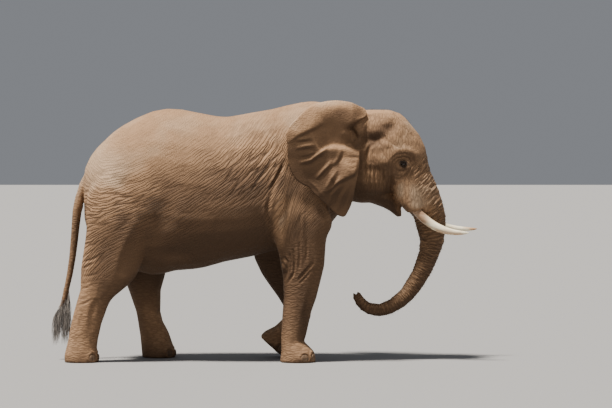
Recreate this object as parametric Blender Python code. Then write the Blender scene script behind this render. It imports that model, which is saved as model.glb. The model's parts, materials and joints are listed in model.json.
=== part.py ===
"""African savanna elephant bull in a slow walk: a still, life-size model, parted into named solids.

Frame: metres, +X the way the animal heads, +Y its left side, +Z up, soles at Z = 0. The limbs, head and trunk are
lofts along their own lines. They are fused into one body, the body is parted by thin cuts, and the ears, tusks,
eyes, tail and nails are fitted to it.
"""

import math

import bmesh
import bpy
from mathutils import Matrix, Vector

# Driving dimensions
WITHERS = 3.0  # height of the shoulder
BACK_DIP = 2.826  # lowest point of the saddle
RUMP_TOP = 2.92
BELLY_HALF_WIDTH = 0.64
FORE_TRACK = 0.345  # from the middle plane to the middle of a foreleg
HIND_TRACK = 0.35
EYE_RADIUS = 0.024
TUSK_RADIUS = 0.05
EYE_PLACE = (1.628, 2.279)
EAR_THICK = (0.034, 0.020)  # at the middle, at the rim
EAR_ROOT_X = 1.12
EAR_LENGTH = 0.85
FAR_TUSK_LONGER = 0.13
NAIL_RADII = (0.016, 0.05, 0.042)
GAP = 0.0005  # between touching solids
FLOOR_CUT = 0.06  # how far a limb runs below the floor before its sole is cut flat
SIDES = (("right", -1), ("left", 1))

# Fineness
RING_SIDES = 28
RING_STEP = 0.05
FUSE_VOXEL = 0.022
FUSE_SMOOTH = 9
BODY_RATIO = 0.0205

SKIN = ("skin", (0.30, 0.235, 0.185), 0.85)
IVORY = ("ivory", (0.80, 0.72, 0.58), 0.35)
EYE = ("eye", (0.035, 0.022, 0.014), 0.08)
NAIL = ("nail", (0.42, 0.36, 0.29), 0.6)
HAIR = ("hair", (0.05, 0.05, 0.055), 0.5)


def material(finish):
    """The Principled material of a finish, made once."""
    name, colour, roughness = finish
    made = bpy.data.materials.get(name)
    if made is None:
        made = bpy.data.materials.new(name)
        made.use_nodes = True
        shader = made.node_tree.nodes["Principled BSDF"]
        shader.inputs["Base Color"].default_value = (*colour, 1.0)
        shader.inputs["Roughness"].default_value = roughness
        shader.inputs["Metallic"].default_value = 0.0
    return made


def new_object(name, mesh, finish=SKIN):
    obj = bpy.data.objects.new(name, mesh)
    bpy.context.scene.collection.objects.link(obj)
    mesh.materials.clear()
    mesh.materials.append(material(finish))
    return obj


def from_bmesh(name, bm, finish=SKIN):
    bmesh.ops.recalc_face_normals(bm, faces=bm.faces)
    mesh = bpy.data.meshes.new(name)
    bm.to_mesh(mesh)
    bm.free()
    return new_object(name, mesh, finish)


def remove(obj):
    bpy.data.objects.remove(obj)


# Lofts


def eased(rows, t):
    """Row t of a table, whole or between two rows, on a smooth curve through them all."""
    last = len(rows) - 1
    i = min(int(t), last - 1)
    s = t - i
    before, a, b, after = (rows[min(max(k, 0), last)] for k in (i - 1, i, i + 1, i + 2))
    return [
        q + 0.5 * s * (r - p + s * (2 * p - 5 * q + 4 * r - u + s * (3 * (q - r) + u - p)))
        for p, q, r, u in zip(before, a, b, after)
    ]


def signed_power(value, power):
    return math.copysign(abs(value) ** power, value)


def ring_of(count, centre, ahead, across, fore, aft, side, roundness):
    """One closed loop of count points: fore and aft reaches along ahead, half-width side along across."""
    points = []
    for k in range(count):
        angle = 2 * math.pi * k / count
        c = signed_power(math.cos(angle), 2 / roundness)
        s = signed_power(math.sin(angle), 2 / roundness)
        points.append(centre + ahead * c * (fore if c > 0 else aft) + across * s * side)
    return points


def loft(name, rows, finish=SKIN, step=RING_STEP, lean=None, sides=RING_SIDES):
    """A closed tube. Each row is x, y, z, fore reach, aft reach, half-width, roundness (2 is an ellipse).

    A ring stands square to the line through the rows, and fore is up on a line that runs to +X, and +X on one that
    runs down. lean, a vector, sets one normal for all the rings in place of that.
    """
    bm = bmesh.new()
    rings = []
    for i in range(len(rows) - 1):
        run = (Vector(rows[i + 1][:3]) - Vector(rows[i][:3])).length
        count = max(1, round(run / step))
        rings += [i + k / count for k in range(count)]
    rings.append(len(rows) - 1)
    loops = []
    for t in rings:
        values = eased(rows, t)
        nudge = 0.05
        ahead_of = Vector(eased(rows, min(t + nudge, len(rows) - 1))[:3])
        behind = Vector(eased(rows, max(t - nudge, 0))[:3])
        along = lean or (ahead_of - behind).normalized()
        across = (Vector((0, 1, 0)) - along * along.y).normalized()
        points = ring_of(sides, Vector(values[:3]), along.cross(across), across, *values[3:])
        loops.append([bm.verts.new(p) for p in points])
    for a, b in zip(loops, loops[1:]):
        for k in range(sides):
            n = (k + 1) % sides
            bm.faces.new((a[k], a[n], b[n], b[k]))
    bm.faces.new(loops[0])
    bm.faces.new(loops[-1])
    return from_bmesh(name, bm, finish)


def ball(name, centre, radii, finish=SKIN, turn=None, sides=20):
    """An ellipsoid, turned by a matrix."""
    bm = bmesh.new()
    bmesh.ops.create_uvsphere(bm, u_segments=sides, v_segments=sides // 2, radius=1.0)
    bmesh.ops.scale(bm, verts=bm.verts, vec=radii)
    if turn is not None:
        bmesh.ops.rotate(bm, verts=bm.verts, matrix=turn)
    bmesh.ops.translate(bm, verts=bm.verts, vec=centre)
    return from_bmesh(name, bm, finish)


# Solids made from solids


def evaluated(obj):
    """The object's mesh with its modifiers applied, in place."""
    graph = bpy.context.evaluated_depsgraph_get()
    mesh = bpy.data.meshes.new_from_object(obj.evaluated_get(graph))
    obj.modifiers.clear()
    obj.data = mesh
    return obj


def boolean(obj, cutter, operation):
    cut = obj.modifiers.new(operation.lower(), "BOOLEAN")
    cut.object = cutter
    cut.operation = operation
    cut.solver = "EXACT"
    return evaluated(obj)


def copy_of(obj, name, swell=0.0):
    """A copy whose surface stands out by swell."""
    mesh = obj.data.copy()
    moves = [vertex.normal * swell for vertex in mesh.vertices]
    for vertex, move in zip(mesh.vertices, moves):
        vertex.co += move
    twin = bpy.data.objects.new(name, mesh)
    bpy.context.scene.collection.objects.link(twin)
    return twin


def fitted(obj, *others):
    """obj with what lies inside the others taken away, leaving the gap."""
    for other in others:
        cutter = copy_of(other, "cutter", GAP)
        boolean(obj, cutter, "DIFFERENCE")
        remove(cutter)
    return obj


def fused(name, pieces):
    """The pieces grown into one smooth body."""
    bm = bmesh.new()
    for piece in pieces:
        bm.from_mesh(piece.data)
        remove(piece)
    body = from_bmesh(name, bm)
    grow = body.modifiers.new("grow together", "REMESH")
    grow.mode = "VOXEL"
    grow.voxel_size = FUSE_VOXEL
    for label, factor in (("relax", 0.5), ("swell back", -0.52)):
        smooth = body.modifiers.new(label, "SMOOTH")
        smooth.factor = factor
        smooth.iterations = FUSE_SMOOTH
    thin = body.modifiers.new("thin out", "DECIMATE")
    thin.ratio = BODY_RATIO
    return evaluated(body)


def taken(body, name, region):
    """The part of the body inside the region, which the body then loses."""
    piece = copy_of(body, name)
    piece.data.materials.clear()
    piece.data.materials.append(material(SKIN))
    boolean(piece, region, "INTERSECT")
    cutter = copy_of(region, "cutter", 2 * GAP)
    boolean(body, cutter, "DIFFERENCE")
    remove(cutter)
    remove(region)
    return piece


# The animal's masses


def barrel():
    """Rump, belly and chest, from the tail forward. Fore is the reach up, aft the reach down."""
    rows = [
        # x, widest height, top, bottom, half-width, roundness
        (-2.07, 1.93, 2.22, 1.62, 0.17, 2.0),
        (-2.02, 1.93, 2.33, 1.42, 0.29, 2.0),
        (-1.93, 1.95, 2.46, 1.25, 0.40, 2.0),
        (-1.72, 1.98, 2.66, 1.12, 0.50, 2.05),
        (-1.49, 1.98, 2.80, 1.04, 0.55, 2.1),
        (-1.256, 1.93, 2.895, 0.985, 0.585, 2.05),
        (-1.02, 1.86, RUMP_TOP, 1.035, 0.61, 2.0),
        (-0.73, 1.80, 2.87, 1.064, 0.63, 1.95),
        (-0.44, 1.78, BACK_DIP, 1.14, BELLY_HALF_WIDTH, 1.95),
        (-0.15, 1.80, 2.872, 1.198, 0.62, 1.95),
        (0.10, 1.86, 2.915, 1.26, 0.575, 1.9),
        (0.35, 1.95, 2.975, 1.32, 0.52, 1.85),
        (0.55, 2.02, WITHERS + 0.006, 1.40, 0.46, 1.85),
        (0.75, 2.10, 2.985, 1.54, 0.38, 1.9),
        (0.90, 2.15, 2.93, 1.72, 0.27, 1.9),
    ]
    lined = [(x, 0, z, up - z, z - down, w, n) for x, z, up, down, w, n in rows]
    return loft("barrel", lined, lean=Vector((1, 0, 0)))


def neck():
    rows = [
        (0.45, 0, 2.20, 0.74, 0.72, 0.37, 2.0),
        (0.75, 0, 2.25, 0.72, 0.66, 0.345, 2.0),
        (1.00, 0, 2.28, 0.64, 0.46, 0.32, 2.2),
        (1.25, 0, 2.32, 0.575, 0.38, 0.30, 2.4),
        (1.42, 0, 2.35, 0.46, 0.32, 0.24, 2.2),
    ]
    return loft("neck", rows, lean=Vector((1, 0, 0)))


def face():
    """Crown, forehead and the root of the trunk, from the top down. Fore is the reach to the front."""
    rows = [
        (1.34, 0, 2.905, 0.13, 0.15, 0.10, 2.0),
        (1.36, 0, 2.865, 0.23, 0.26, 0.205, 2.0),
        (1.38, 0, 2.76, 0.325, 0.34, 0.285, 2.1),
        (1.42, 0, 2.60, 0.405, 0.37, 0.325, 2.15),
        (1.45, 0, 2.475, 0.434, 0.37, 0.34, 2.2),
        (1.46, 0, 2.36, 0.452, 0.36, 0.352, 2.2),
        (1.50, 0, 2.23, 0.442, 0.36, 0.335, 2.15),
        (1.58, 0, 2.11, 0.408, 0.30, 0.315, 2.1),
        (1.74, 0, 1.97, 0.31, 0.23, 0.275, 2.1),
        (1.82, 0, 1.86, 0.262, 0.25, 0.25, 2.1),
        (1.885, 0, 1.742, 0.232, 0.21, 0.225, 2.0),
        (1.94, 0, 1.63, 0.19, 0.17, 0.19, 2.0),
        (1.965, 0, 1.53, 0.165, 0.15, 0.165, 2.0),
    ]
    return loft("face", rows, lean=Vector((0, 0, -1)))


def trunk():
    """From the tusks down, then curled back under the mouth to the tip."""
    rows = [
        (1.945, 0, 1.66, 0.19, 0.19, 0.19, 2.0),
        (1.965, 0, 1.52, 0.165, 0.175, 0.17, 2.0),
        (1.970, 0, 1.38, 0.135, 0.15, 0.15, 2.0),
        (1.935, 0, 1.23, 0.118, 0.13, 0.135, 2.0),
        (1.875, 0, 1.08, 0.107, 0.115, 0.122, 2.0),
        (1.80, 0, 0.935, 0.10, 0.105, 0.112, 2.0),
        (1.71, 0, 0.80, 0.092, 0.097, 0.103, 2.0),
        (1.60, 0, 0.69, 0.086, 0.09, 0.095, 2.0),
        (1.475, 0, 0.61, 0.079, 0.083, 0.087, 2.0),
        (1.345, 0, 0.575, 0.073, 0.076, 0.08, 2.0),
        (1.22, 0, 0.60, 0.067, 0.069, 0.074, 2.0),
        (1.13, 0, 0.675, 0.06, 0.062, 0.068, 2.0),
        (1.085, 0, 0.765, 0.052, 0.054, 0.062, 2.0),
    ]
    return loft("trunk", rows, step=0.04)


def cheeks():
    return ball("cheeks", (1.25, 0, 2.16), (0.33, 0.315, 0.31))


def tusk_sheath(side):
    rows = [
        (1.62, side * 0.15, 2.22, 0.12, 0.13, 0.15, 2.0),
        (1.67, side * 0.19, 2.03, 0.13, 0.15, 0.13, 2.0),
        (1.72, side * 0.215, 1.87, 0.11, 0.145, 0.108, 2.0),
        (1.765, side * 0.235, 1.735, 0.08, 0.09, 0.08, 2.0),
    ]
    return loft("sheath", rows)


def ear_base(side):
    """The flesh an ear grows from, down the back of the head."""
    rows = [
        (1.15, side * 0.12, 2.83, 0.08, 0.12, 0.10, 2.0),
        (1.12, side * 0.21, 2.72, 0.09, 0.13, 0.11, 2.0),
        (1.09, side * 0.27, 2.56, 0.09, 0.12, 0.09, 2.0),
        (1.07, side * 0.29, 2.40, 0.085, 0.10, 0.07, 2.0),
        (1.06, side * 0.28, 2.26, 0.07, 0.08, 0.05, 2.0),
    ]
    return loft("ear base", rows)


def jaw():
    """The lower jaw, from the throat to the pointed lip."""
    rows = [
        (0.98, 0, 2.06, 0.15, 0.17, 0.20, 2.0),
        (1.14, 0, 2.00, 0.15, 0.18, 0.215, 2.1),
        (1.27, 0, 1.955, 0.13, 0.14, 0.19, 2.1),
        (1.37, 0, 1.905, 0.115, 0.115, 0.155, 2.0),
        (1.46, 0, 1.85, 0.09, 0.10, 0.12, 2.0),
        (1.53, 0, 1.785, 0.06, 0.08, 0.085, 2.0),
        (1.575, 0, 1.715, 0.042, 0.055, 0.06, 2.0),
        (1.595, 0, 1.665, 0.022, 0.03, 0.035, 2.0),
    ]
    return loft("jaw", rows, step=0.04)


def planted_foreleg(side):
    y = side * FORE_TRACK
    rows = [
        (0.42, side * 0.29, 2.40, 0.17, 0.17, 0.12, 2.0),
        (0.42, side * 0.335, 2.05, 0.29, 0.30, 0.165, 2.1),
        (0.42, side * 0.345, 1.72, 0.355, 0.355, 0.19, 2.2),
        (0.43, y, 1.56, 0.375, 0.355, 0.19, 2.2),
        (0.44, y, 1.42, 0.305, 0.30, 0.18, 2.2),
        (0.455, y, 1.27, 0.27, 0.272, 0.172, 2.2),
        (0.46, y, 1.12, 0.252, 0.252, 0.166, 2.2),
        (0.452, y, 0.97, 0.223, 0.223, 0.16, 2.15),
        (0.432, y, 0.78, 0.193, 0.194, 0.155, 2.1),
        (0.405, y, 0.64, 0.170, 0.170, 0.15, 2.1),
        (0.384, y, 0.50, 0.158, 0.160, 0.145, 2.1),
        (0.364, y, 0.36, 0.147, 0.150, 0.142, 2.1),
        (0.345, y, 0.24, 0.134, 0.134, 0.145, 2.1),
        (0.362, y, 0.16, 0.155, 0.155, 0.165, 2.1),
        (0.388, y, 0.09, 0.20, 0.185, 0.188, 2.1),
        (0.395, y, 0.02, 0.213, 0.195, 0.197, 2.1),
        (0.395, y, -FLOOR_CUT, 0.20, 0.19, 0.19, 2.1),
    ]
    return loft("foreleg", rows)


def lifted_foreleg(side):
    """The wrist is bent, and the foot rests on the front of its toes."""
    y = side * FORE_TRACK
    rows = [
        (0.40, side * 0.29, 2.40, 0.17, 0.17, 0.12, 2.0),
        (0.36, side * 0.335, 2.05, 0.29, 0.31, 0.165, 2.1),
        (0.30, side * 0.345, 1.72, 0.36, 0.37, 0.19, 2.2),
        (0.23, y, 1.50, 0.35, 0.36, 0.19, 2.2),
        (0.20, y, 1.30, 0.30, 0.335, 0.18, 2.2),
        (0.245, y, 1.10, 0.26, 0.295, 0.17, 2.2),
        (0.31, y, 0.92, 0.215, 0.245, 0.16, 2.15),
        (0.375, y, 0.74, 0.175, 0.195, 0.152, 2.1),
        (0.415, y, 0.59, 0.155, 0.165, 0.148, 2.1),
        (0.395, y, 0.45, 0.145, 0.15, 0.145, 2.1),
        (0.315, y, 0.33, 0.145, 0.15, 0.148, 2.1),
        (0.225, y, 0.235, 0.175, 0.165, 0.165, 2.1),
        (0.16, y, 0.17, 0.205, 0.20, 0.185, 2.1),
        (0.112, y, 0.115, 0.205, 0.205, 0.188, 2.1),
    ]
    return loft("foreleg", rows)


def trailing_hind_leg(side):
    y = side * HIND_TRACK
    rows = [
        (-1.60, side * 0.29, 2.25, 0.30, 0.26, 0.18, 2.0),
        (-1.62, side * 0.325, 2.00, 0.36, 0.37, 0.215, 2.1),
        (-1.62, side * 0.34, 1.75, 0.375, 0.41, 0.225, 2.2),
        (-1.63, y, 1.52, 0.36, 0.395, 0.215, 2.2),
        (-1.66, y, 1.30, 0.34, 0.395, 0.20, 2.2),
        (-1.73, y, 1.10, 0.33, 0.355, 0.19, 2.15),
        (-1.80, y, 0.95, 0.32, 0.29, 0.185, 2.1),
        (-1.87, y, 0.84, 0.27, 0.225, 0.175, 2.1),
        (-1.935, y, 0.71, 0.192, 0.195, 0.165, 2.1),
        (-1.99, y, 0.55, 0.176, 0.187, 0.158, 2.1),
        (-2.028, y, 0.40, 0.165, 0.182, 0.152, 2.1),
        (-2.055, y, 0.26, 0.160, 0.180, 0.152, 2.1),
        (-2.072, y, 0.15, 0.170, 0.192, 0.165, 2.1),
        (-2.083, y, 0.06, 0.195, 0.200, 0.176, 2.1),
        (-2.083, y, -FLOOR_CUT, 0.19, 0.195, 0.175, 2.1),
    ]
    return loft("hind leg", rows, lean=Vector((0, 0, -1)))


def leading_hind_leg(side):
    y = side * HIND_TRACK
    rows = [
        (-1.55, side * 0.29, 2.25, 0.30, 0.28, 0.18, 2.0),
        (-1.52, side * 0.325, 2.00, 0.37, 0.38, 0.215, 2.1),
        (-1.48, side * 0.34, 1.75, 0.39, 0.42, 0.225, 2.2),
        (-1.45, y, 1.50, 0.37, 0.39, 0.215, 2.2),
        (-1.42, y, 1.25, 0.31, 0.33, 0.195, 2.2),
        (-1.40, y, 1.00, 0.25, 0.26, 0.18, 2.15),
        (-1.395, y, 0.80, 0.19, 0.195, 0.17, 2.1),
        (-1.375, y, 0.67, 0.165, 0.168, 0.158, 2.1),
        (-1.358, y, 0.55, 0.145, 0.145, 0.15, 2.1),
        (-1.335, y, 0.43, 0.148, 0.145, 0.148, 2.1),
        (-1.295, y, 0.31, 0.172, 0.165, 0.152, 2.1),
        (-1.262, y, 0.19, 0.184, 0.182, 0.165, 2.1),
        (-1.238, y, 0.07, 0.196, 0.194, 0.177, 2.1),
        (-1.238, y, -FLOOR_CUT, 0.19, 0.19, 0.175, 2.1),
    ]
    return loft("hind leg", rows, lean=Vector((0, 0, -1)))


def body_mass():
    pieces = [
        barrel(),
        neck(),
        face(),
        trunk(),
        cheeks(),
        jaw(),
        planted_foreleg(-1),
        lifted_foreleg(1),
        trailing_hind_leg(-1),
        leading_hind_leg(1),
    ]
    for _, side in SIDES:
        pieces += [tusk_sheath(side), ear_base(side)]
    return fused("torso", pieces)


# What is fitted to the body


def eased_step(value):
    value = min(1.0, max(0.0, value))
    return value * value * (3 - 2 * value)


def ear_sheet_y(x, z):
    """How far from the middle plane the ear stands: it leaves the head steeply, then lies along the shoulder."""
    back = max(0.0, (EAR_ROOT_X - x) / EAR_LENGTH)
    flare = 0.31 * back**0.6
    root = eased_step((x - 0.92) / 0.2) * eased_step((z - 2.32) / 0.2)
    tuck = 0.06 * eased_step((z - 2.6) / 0.4)
    lobe = 0.035 * math.sin(math.pi * min(1.0, max(0.0, (2.35 - z) / 0.7)))
    return 0.335 + flare - tuck + lobe - root * (0.07 + 0.10 * eased_step((z - 2.55) / 0.35))


def ear(name, side):
    """A thin sheet, in rings about its middle: x and z of its rim, from the top of its root round by the back."""
    rim = [
        (1.16, 2.86),
        (1.11, 2.95),
        (1.03, 2.985),
        (0.93, 3.003),
        (0.84, 3.011),
        (0.74, 3.00),
        (0.637, 2.977),
        (0.545, 2.94),
        (0.46, 2.87),
        (0.386, 2.795),
        (0.31, 2.71),
        (0.275, 2.62),
        (0.283, 2.50),
        (0.289, 2.362),
        (0.313, 2.23),
        (0.375, 2.115),
        (0.46, 2.045),
        (0.535, 2.01),
        (0.575, 1.955),
        (0.648, 1.887),
        (0.72, 1.82),
        (0.793, 1.75),
        (0.865, 1.69),
        (0.938, 1.672),
        (0.985, 1.735),
        (1.033, 1.849),
        (1.065, 2.009),
        (1.092, 2.134),
        (1.113, 2.262),
        (1.115, 2.38),
        (1.12, 2.50),
        (1.125, 2.62),
        (1.14, 2.74),
    ]
    middle = (0.78, 2.42)
    rings = (0.45, 0.82, 1.0)
    bm = bmesh.new()
    faces = []
    for out in (1, -1):
        loops = []
        for reach in rings:
            half = 0.5 * (EAR_THICK[0] + (EAR_THICK[1] - EAR_THICK[0]) * reach**2)
            if reach == 1.0:
                half *= 0.4
            loop = []
            for x, z in rim:
                x = middle[0] + (x - middle[0]) * reach
                z = middle[1] + (z - middle[1]) * reach
                loop.append(bm.verts.new((x, side * (ear_sheet_y(x, z) + out * half), z)))
            loops.append(loop)
        hub_y = ear_sheet_y(*middle) + out * EAR_THICK[0] / 2
        faces.append((bm.verts.new((middle[0], side * hub_y, middle[1])), loops))
    count = len(rim)
    for hub, loops in faces:
        for k in range(count):
            n = (k + 1) % count
            bm.faces.new((hub, loops[0][k], loops[0][n]))
            for a, b in zip(loops, loops[1:]):
                bm.faces.new((a[k], b[k], b[n], a[n]))
    outer, inner = faces[0][1][-1], faces[1][1][-1]
    for k in range(count):
        n = (k + 1) % count
        bm.faces.new((outer[k], inner[k], inner[n], outer[n]))
    return from_bmesh(name, bm)


def tusk(name, side, longer):
    """From inside its sheath forward; longer stretches the free part."""
    run = 1 + longer / 0.55
    rows = [
        (1.70, side * 0.225, 1.87, 0.045, 0.045, 0.045, 2.0),
        (1.745, side * 0.23, 1.785, 0.05, 0.05, 0.05, 2.0),
        (1.80, side * 0.24, 1.71, TUSK_RADIUS, TUSK_RADIUS, TUSK_RADIUS, 2.0),
    ]
    for x, z, radius in (
        (0.07, 1.643, 0.051),
        (0.165, 1.575, 0.049),
        (0.27, 1.525, 0.044),
        (0.375, 1.497, 0.036),
        (0.48, 1.487, 0.025),
        (0.545, 1.486, 0.013),
        (0.575, 1.487, 0.003),
    ):
        spread = 0.24 + 0.09 * math.sin(min(1.0, x / 0.5) * math.pi / 2)
        lift = 0.2 * longer * x / 0.575
        rows.append((1.80 + x * run, side * spread, z + lift, radius, radius, radius, 2.0))
    return loft(name, rows, IVORY, step=0.09, sides=12)


def tail():
    rows = [
        (-1.90, 0, 2.24, 0.07, 0.07, 0.08, 2.0),
        (-2.00, 0, 2.14, 0.07, 0.08, 0.085, 2.0),
        (-2.075, 0, 2.02, 0.06, 0.065, 0.075, 2.0),
        (-2.125, 0, 1.88, 0.053, 0.055, 0.062, 2.0),
        (-2.163, 0, 1.72, 0.044, 0.044, 0.05, 2.0),
        (-2.180, 0, 1.55, 0.038, 0.038, 0.044, 2.0),
        (-2.195, 0, 1.38, 0.034, 0.034, 0.038, 2.0),
        (-2.218, 0, 1.18, 0.029, 0.029, 0.033, 2.0),
        (-2.247, 0, 1.00, 0.026, 0.026, 0.029, 2.0),
        (-2.282, 0, 0.84, 0.022, 0.022, 0.026, 2.0),
        (-2.313, 0, 0.70, 0.018, 0.018, 0.021, 2.0),
    ]
    return loft("tail", rows, step=0.16, sides=10)


def tail_tuft():
    """The brush of wiry hair about the tail's end, widest front to back."""
    rows = [
        (-2.298, 0, 0.77, 0.028, 0.028, 0.03, 2.0),
        (-2.315, 0, 0.69, 0.05, 0.05, 0.04, 2.0),
        (-2.335, 0, 0.58, 0.08, 0.082, 0.055, 2.0),
        (-2.350, 0, 0.45, 0.098, 0.105, 0.062, 2.0),
        (-2.362, 0, 0.33, 0.10, 0.112, 0.06, 2.0),
        (-2.368, 0, 0.23, 0.08, 0.095, 0.045, 2.0),
        (-2.385, 0, 0.17, 0.03, 0.05, 0.02, 2.0),
    ]
    return loft("tail_tuft", rows, HAIR, step=0.11, sides=10)


# Seating small parts on the body


def surface(obj, start, toward):
    """Where a line from start toward a point meets the object."""
    start = Vector(start)
    hit, place, _, _ = obj.ray_cast(start, (Vector(toward) - start).normalized())
    return place if hit else Vector(toward)


def eye(name, body, side):
    x, z = EYE_PLACE
    skin = surface(body, (x, side * 1.0, z), (x, 0, z))
    return ball(name, skin - Vector((0.006, side * EYE_RADIUS * 0.45, 0)), [EYE_RADIUS] * 3, EYE, sides=10)


def nails(foot_name, foot, centre, pitch, bearings):
    """Toenails round the front of a foot; pitch turns the foot's own level down toward its toes."""
    turn = Matrix.Rotation(pitch, 3, "Y")
    made = []
    for k, bearing in enumerate(bearings):
        angle = math.radians(bearing)
        out = turn @ Vector((math.cos(angle), math.sin(angle), 0))
        spot = surface(foot, Vector(centre) + out * 0.6, centre)
        facing = turn @ Matrix.Rotation(angle, 3, "Z")
        nail = ball(f"{foot_name}_nail_{k + 1}", spot, NAIL_RADII, NAIL, facing, sides=8)
        made.append(nail)
    return made


# Parting the body


def prism(outline, low, high):
    """A cutter: an outline of (x, z) run along Y from low to high."""
    bm = bmesh.new()
    ends = [[bm.verts.new((x, y, z)) for x, z in outline] for y in sorted((low, high))]
    for loop in ends:
        bm.faces.new(loop)
    for k in range(len(outline)):
        n = (k + 1) % len(outline)
        bm.faces.new((ends[0][k], ends[0][n], ends[1][n], ends[1][k]))
    cutter = from_bmesh("cutter", bm)
    cutter.hide_render = True
    cutter.display_type = "WIRE"
    return cutter


def part_leg(body, name, side, inner, outline, knee, ankle):
    """Upper leg, lower leg and foot. knee and ankle are outlines of all that lies below them."""
    upper = taken(body, f"{name}_upper", prism(outline, side * inner, side * 1.0))
    lower = taken(upper, f"{name}_lower", prism(knee, side * -0.2, side * 1.1))
    foot = taken(lower, f"{name}_foot", prism(ankle, side * -0.3, side * 1.2))
    return foot


def below(x_low, x_high, z_low, z_high):
    """The outline of all that lies under a line from one end to the other."""
    return [(x_low, z_low), (x_high, z_high), (x_high, -0.5), (x_low, -0.5)]


def part_legs(body):
    """Every foot, with the pitch of its sole and the bearings of its nails."""
    fore_nails = (-62, -22, 20, 60)
    hind_nails = (-42, 0, 42)
    right_fore = part_leg(
        body,
        "foreleg_right",
        -1,
        0.14,
        [(0.0, 1.62), (0.92, 1.50), (1.0, -0.5), (0.0, -0.5), (0.10, 1.15)],
        below(0.0, 1.0, 0.60, 0.66),
        below(-0.1, 1.1, 0.17, 0.19),
    )
    left_fore = part_leg(
        body,
        "foreleg_left",
        1,
        0.14,
        [(-0.22, 1.55), (0.86, 1.55), (1.0, -0.5), (-0.3, -0.5), (-0.20, 1.12)],
        below(-0.2, 1.0, 0.62, 0.66),
        [(-0.2, 0.75), (0.62, 0.05), (0.62, -0.5), (-0.2, -0.5)],
    )
    right_hind = part_leg(
        body,
        "hind_leg_right",
        -1,
        0.10,
        [(-2.4, 1.56), (-1.16, 1.46), (-1.30, 1.02), (-1.50, 0.86), (-1.5, -0.5), (-2.4, -0.5)],
        below(-2.5, -1.4, 0.76, 0.90),
        below(-2.6, -1.3, 0.20, 0.20),
    )
    left_hind = part_leg(
        body,
        "hind_leg_left",
        1,
        0.10,
        [(-2.4, 1.50), (-1.02, 1.50), (-1.02, -0.5), (-2.0, -0.5), (-2.0, 1.0)],
        below(-2.1, -0.9, 0.84, 0.84),
        below(-2.2, -0.8, 0.20, 0.20),
    )
    return [
        ("forefoot_right", right_fore, (0.395, -FORE_TRACK, 0.06), 0.0, fore_nails),
        ("forefoot_left", left_fore, (0.13, FORE_TRACK, 0.185), math.radians(40), fore_nails[::-1]),
        ("hind_foot_right", right_hind, (-2.083, -HIND_TRACK, 0.06), 0.0, hind_nails),
        ("hind_foot_left", left_hind, (-1.238, HIND_TRACK, 0.06), 0.0, hind_nails),
    ]


def part_head(body):
    """Neck, head, jaw and three lengths of trunk, cut away from the torso in turn."""
    neck_on = taken(body, "neck", prism([(0.62, 3.3), (0.86, 1.55), (1.02, 0.3), (3.0, 0.3), (3.0, 3.3)], -1, 1))
    head = taken(neck_on, "head", prism([(1.10, 3.3), (1.06, 1.95), (0.96, 1.2), (0.96, 0.2), (3.1, 0.2), (3.1, 3.3)], -1.1, 1.1))
    trunk = taken(head, "trunk_upper", prism([(1.0, 1.10), (1.62, 1.53), (2.3, 1.93), (2.6, 0.1), (1.0, 0.1)], -1.2, 1.2))
    middle = taken(trunk, "trunk_middle", prism([(0.9, 1.22), (2.4, 1.10), (2.4, 0), (0.9, 0)], -1.3, 1.3))
    taken(middle, "trunk_tip", prism([(0.8, 1.2), (1.38, 1.1), (1.56, 0.4), (1.5, 0.1), (0.8, 0.1)], -1.4, 1.4))
    mouth = [(1.17, 1.6), (1.23, 1.98), (1.40, 2.00), (1.49, 1.94), (1.54, 1.86), (1.59, 1.78), (1.64, 1.72), (1.64, 1.58)]
    taken(head, "lower_jaw", prism(mouth, -1.5, 1.5))
    return head


def placed():
    """Set the origin under the middle of all the solids, on the floor."""
    solids = [obj for obj in bpy.data.objects if obj.type == "MESH"]
    xs = [vertex.co.x for obj in solids for vertex in obj.data.vertices]
    ys = [vertex.co.y for obj in solids for vertex in obj.data.vertices]
    shift = Matrix.Translation((-(min(xs) + max(xs)) / 2, -(min(ys) + max(ys)) / 2, 0))
    for obj in solids:
        obj.data.transform(shift)


def build():
    for obj in list(bpy.data.objects):
        bpy.data.objects.remove(obj)
    torso = body_mass()
    floor = prism([(-3, 0), (3, 0), (3, -1), (-3, -1)], -2, 2)
    boolean(torso, floor, "DIFFERENCE")
    remove(floor)
    eyes = [eye(f"eye_{label}", torso, side) for label, side in SIDES]
    tusks = [tusk("tusk_right", -1, 0.0), tusk("tusk_left", 1, FAR_TUSK_LONGER)]
    ears = [ear(f"ear_{label}", side) for label, side in SIDES]
    for part in ears:
        fitted(part, torso)
    tail_part = fitted(tail(), torso)
    fitted(tail_tuft(), tail_part)
    feet = part_legs(torso)
    for name, foot, centre, pitch, bearings in feet:
        for nail in nails(name, foot, centre, pitch, bearings):
            fitted(nail, foot)
    head = part_head(torso)
    fitted(head, *eyes, *tusks)
    placed()


build()
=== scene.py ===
"""African savanna elephant bull in a slow walk: its hide, ears, tusks, eyes, nails and hairs.

Places are in the metres of the solids' own source. FORWARD brings them into the frame,
whose middle is the origin.
"""

import json
import math
import random

import bmesh
import bpy
import numpy as np
from mathutils import Matrix, Vector


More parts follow.
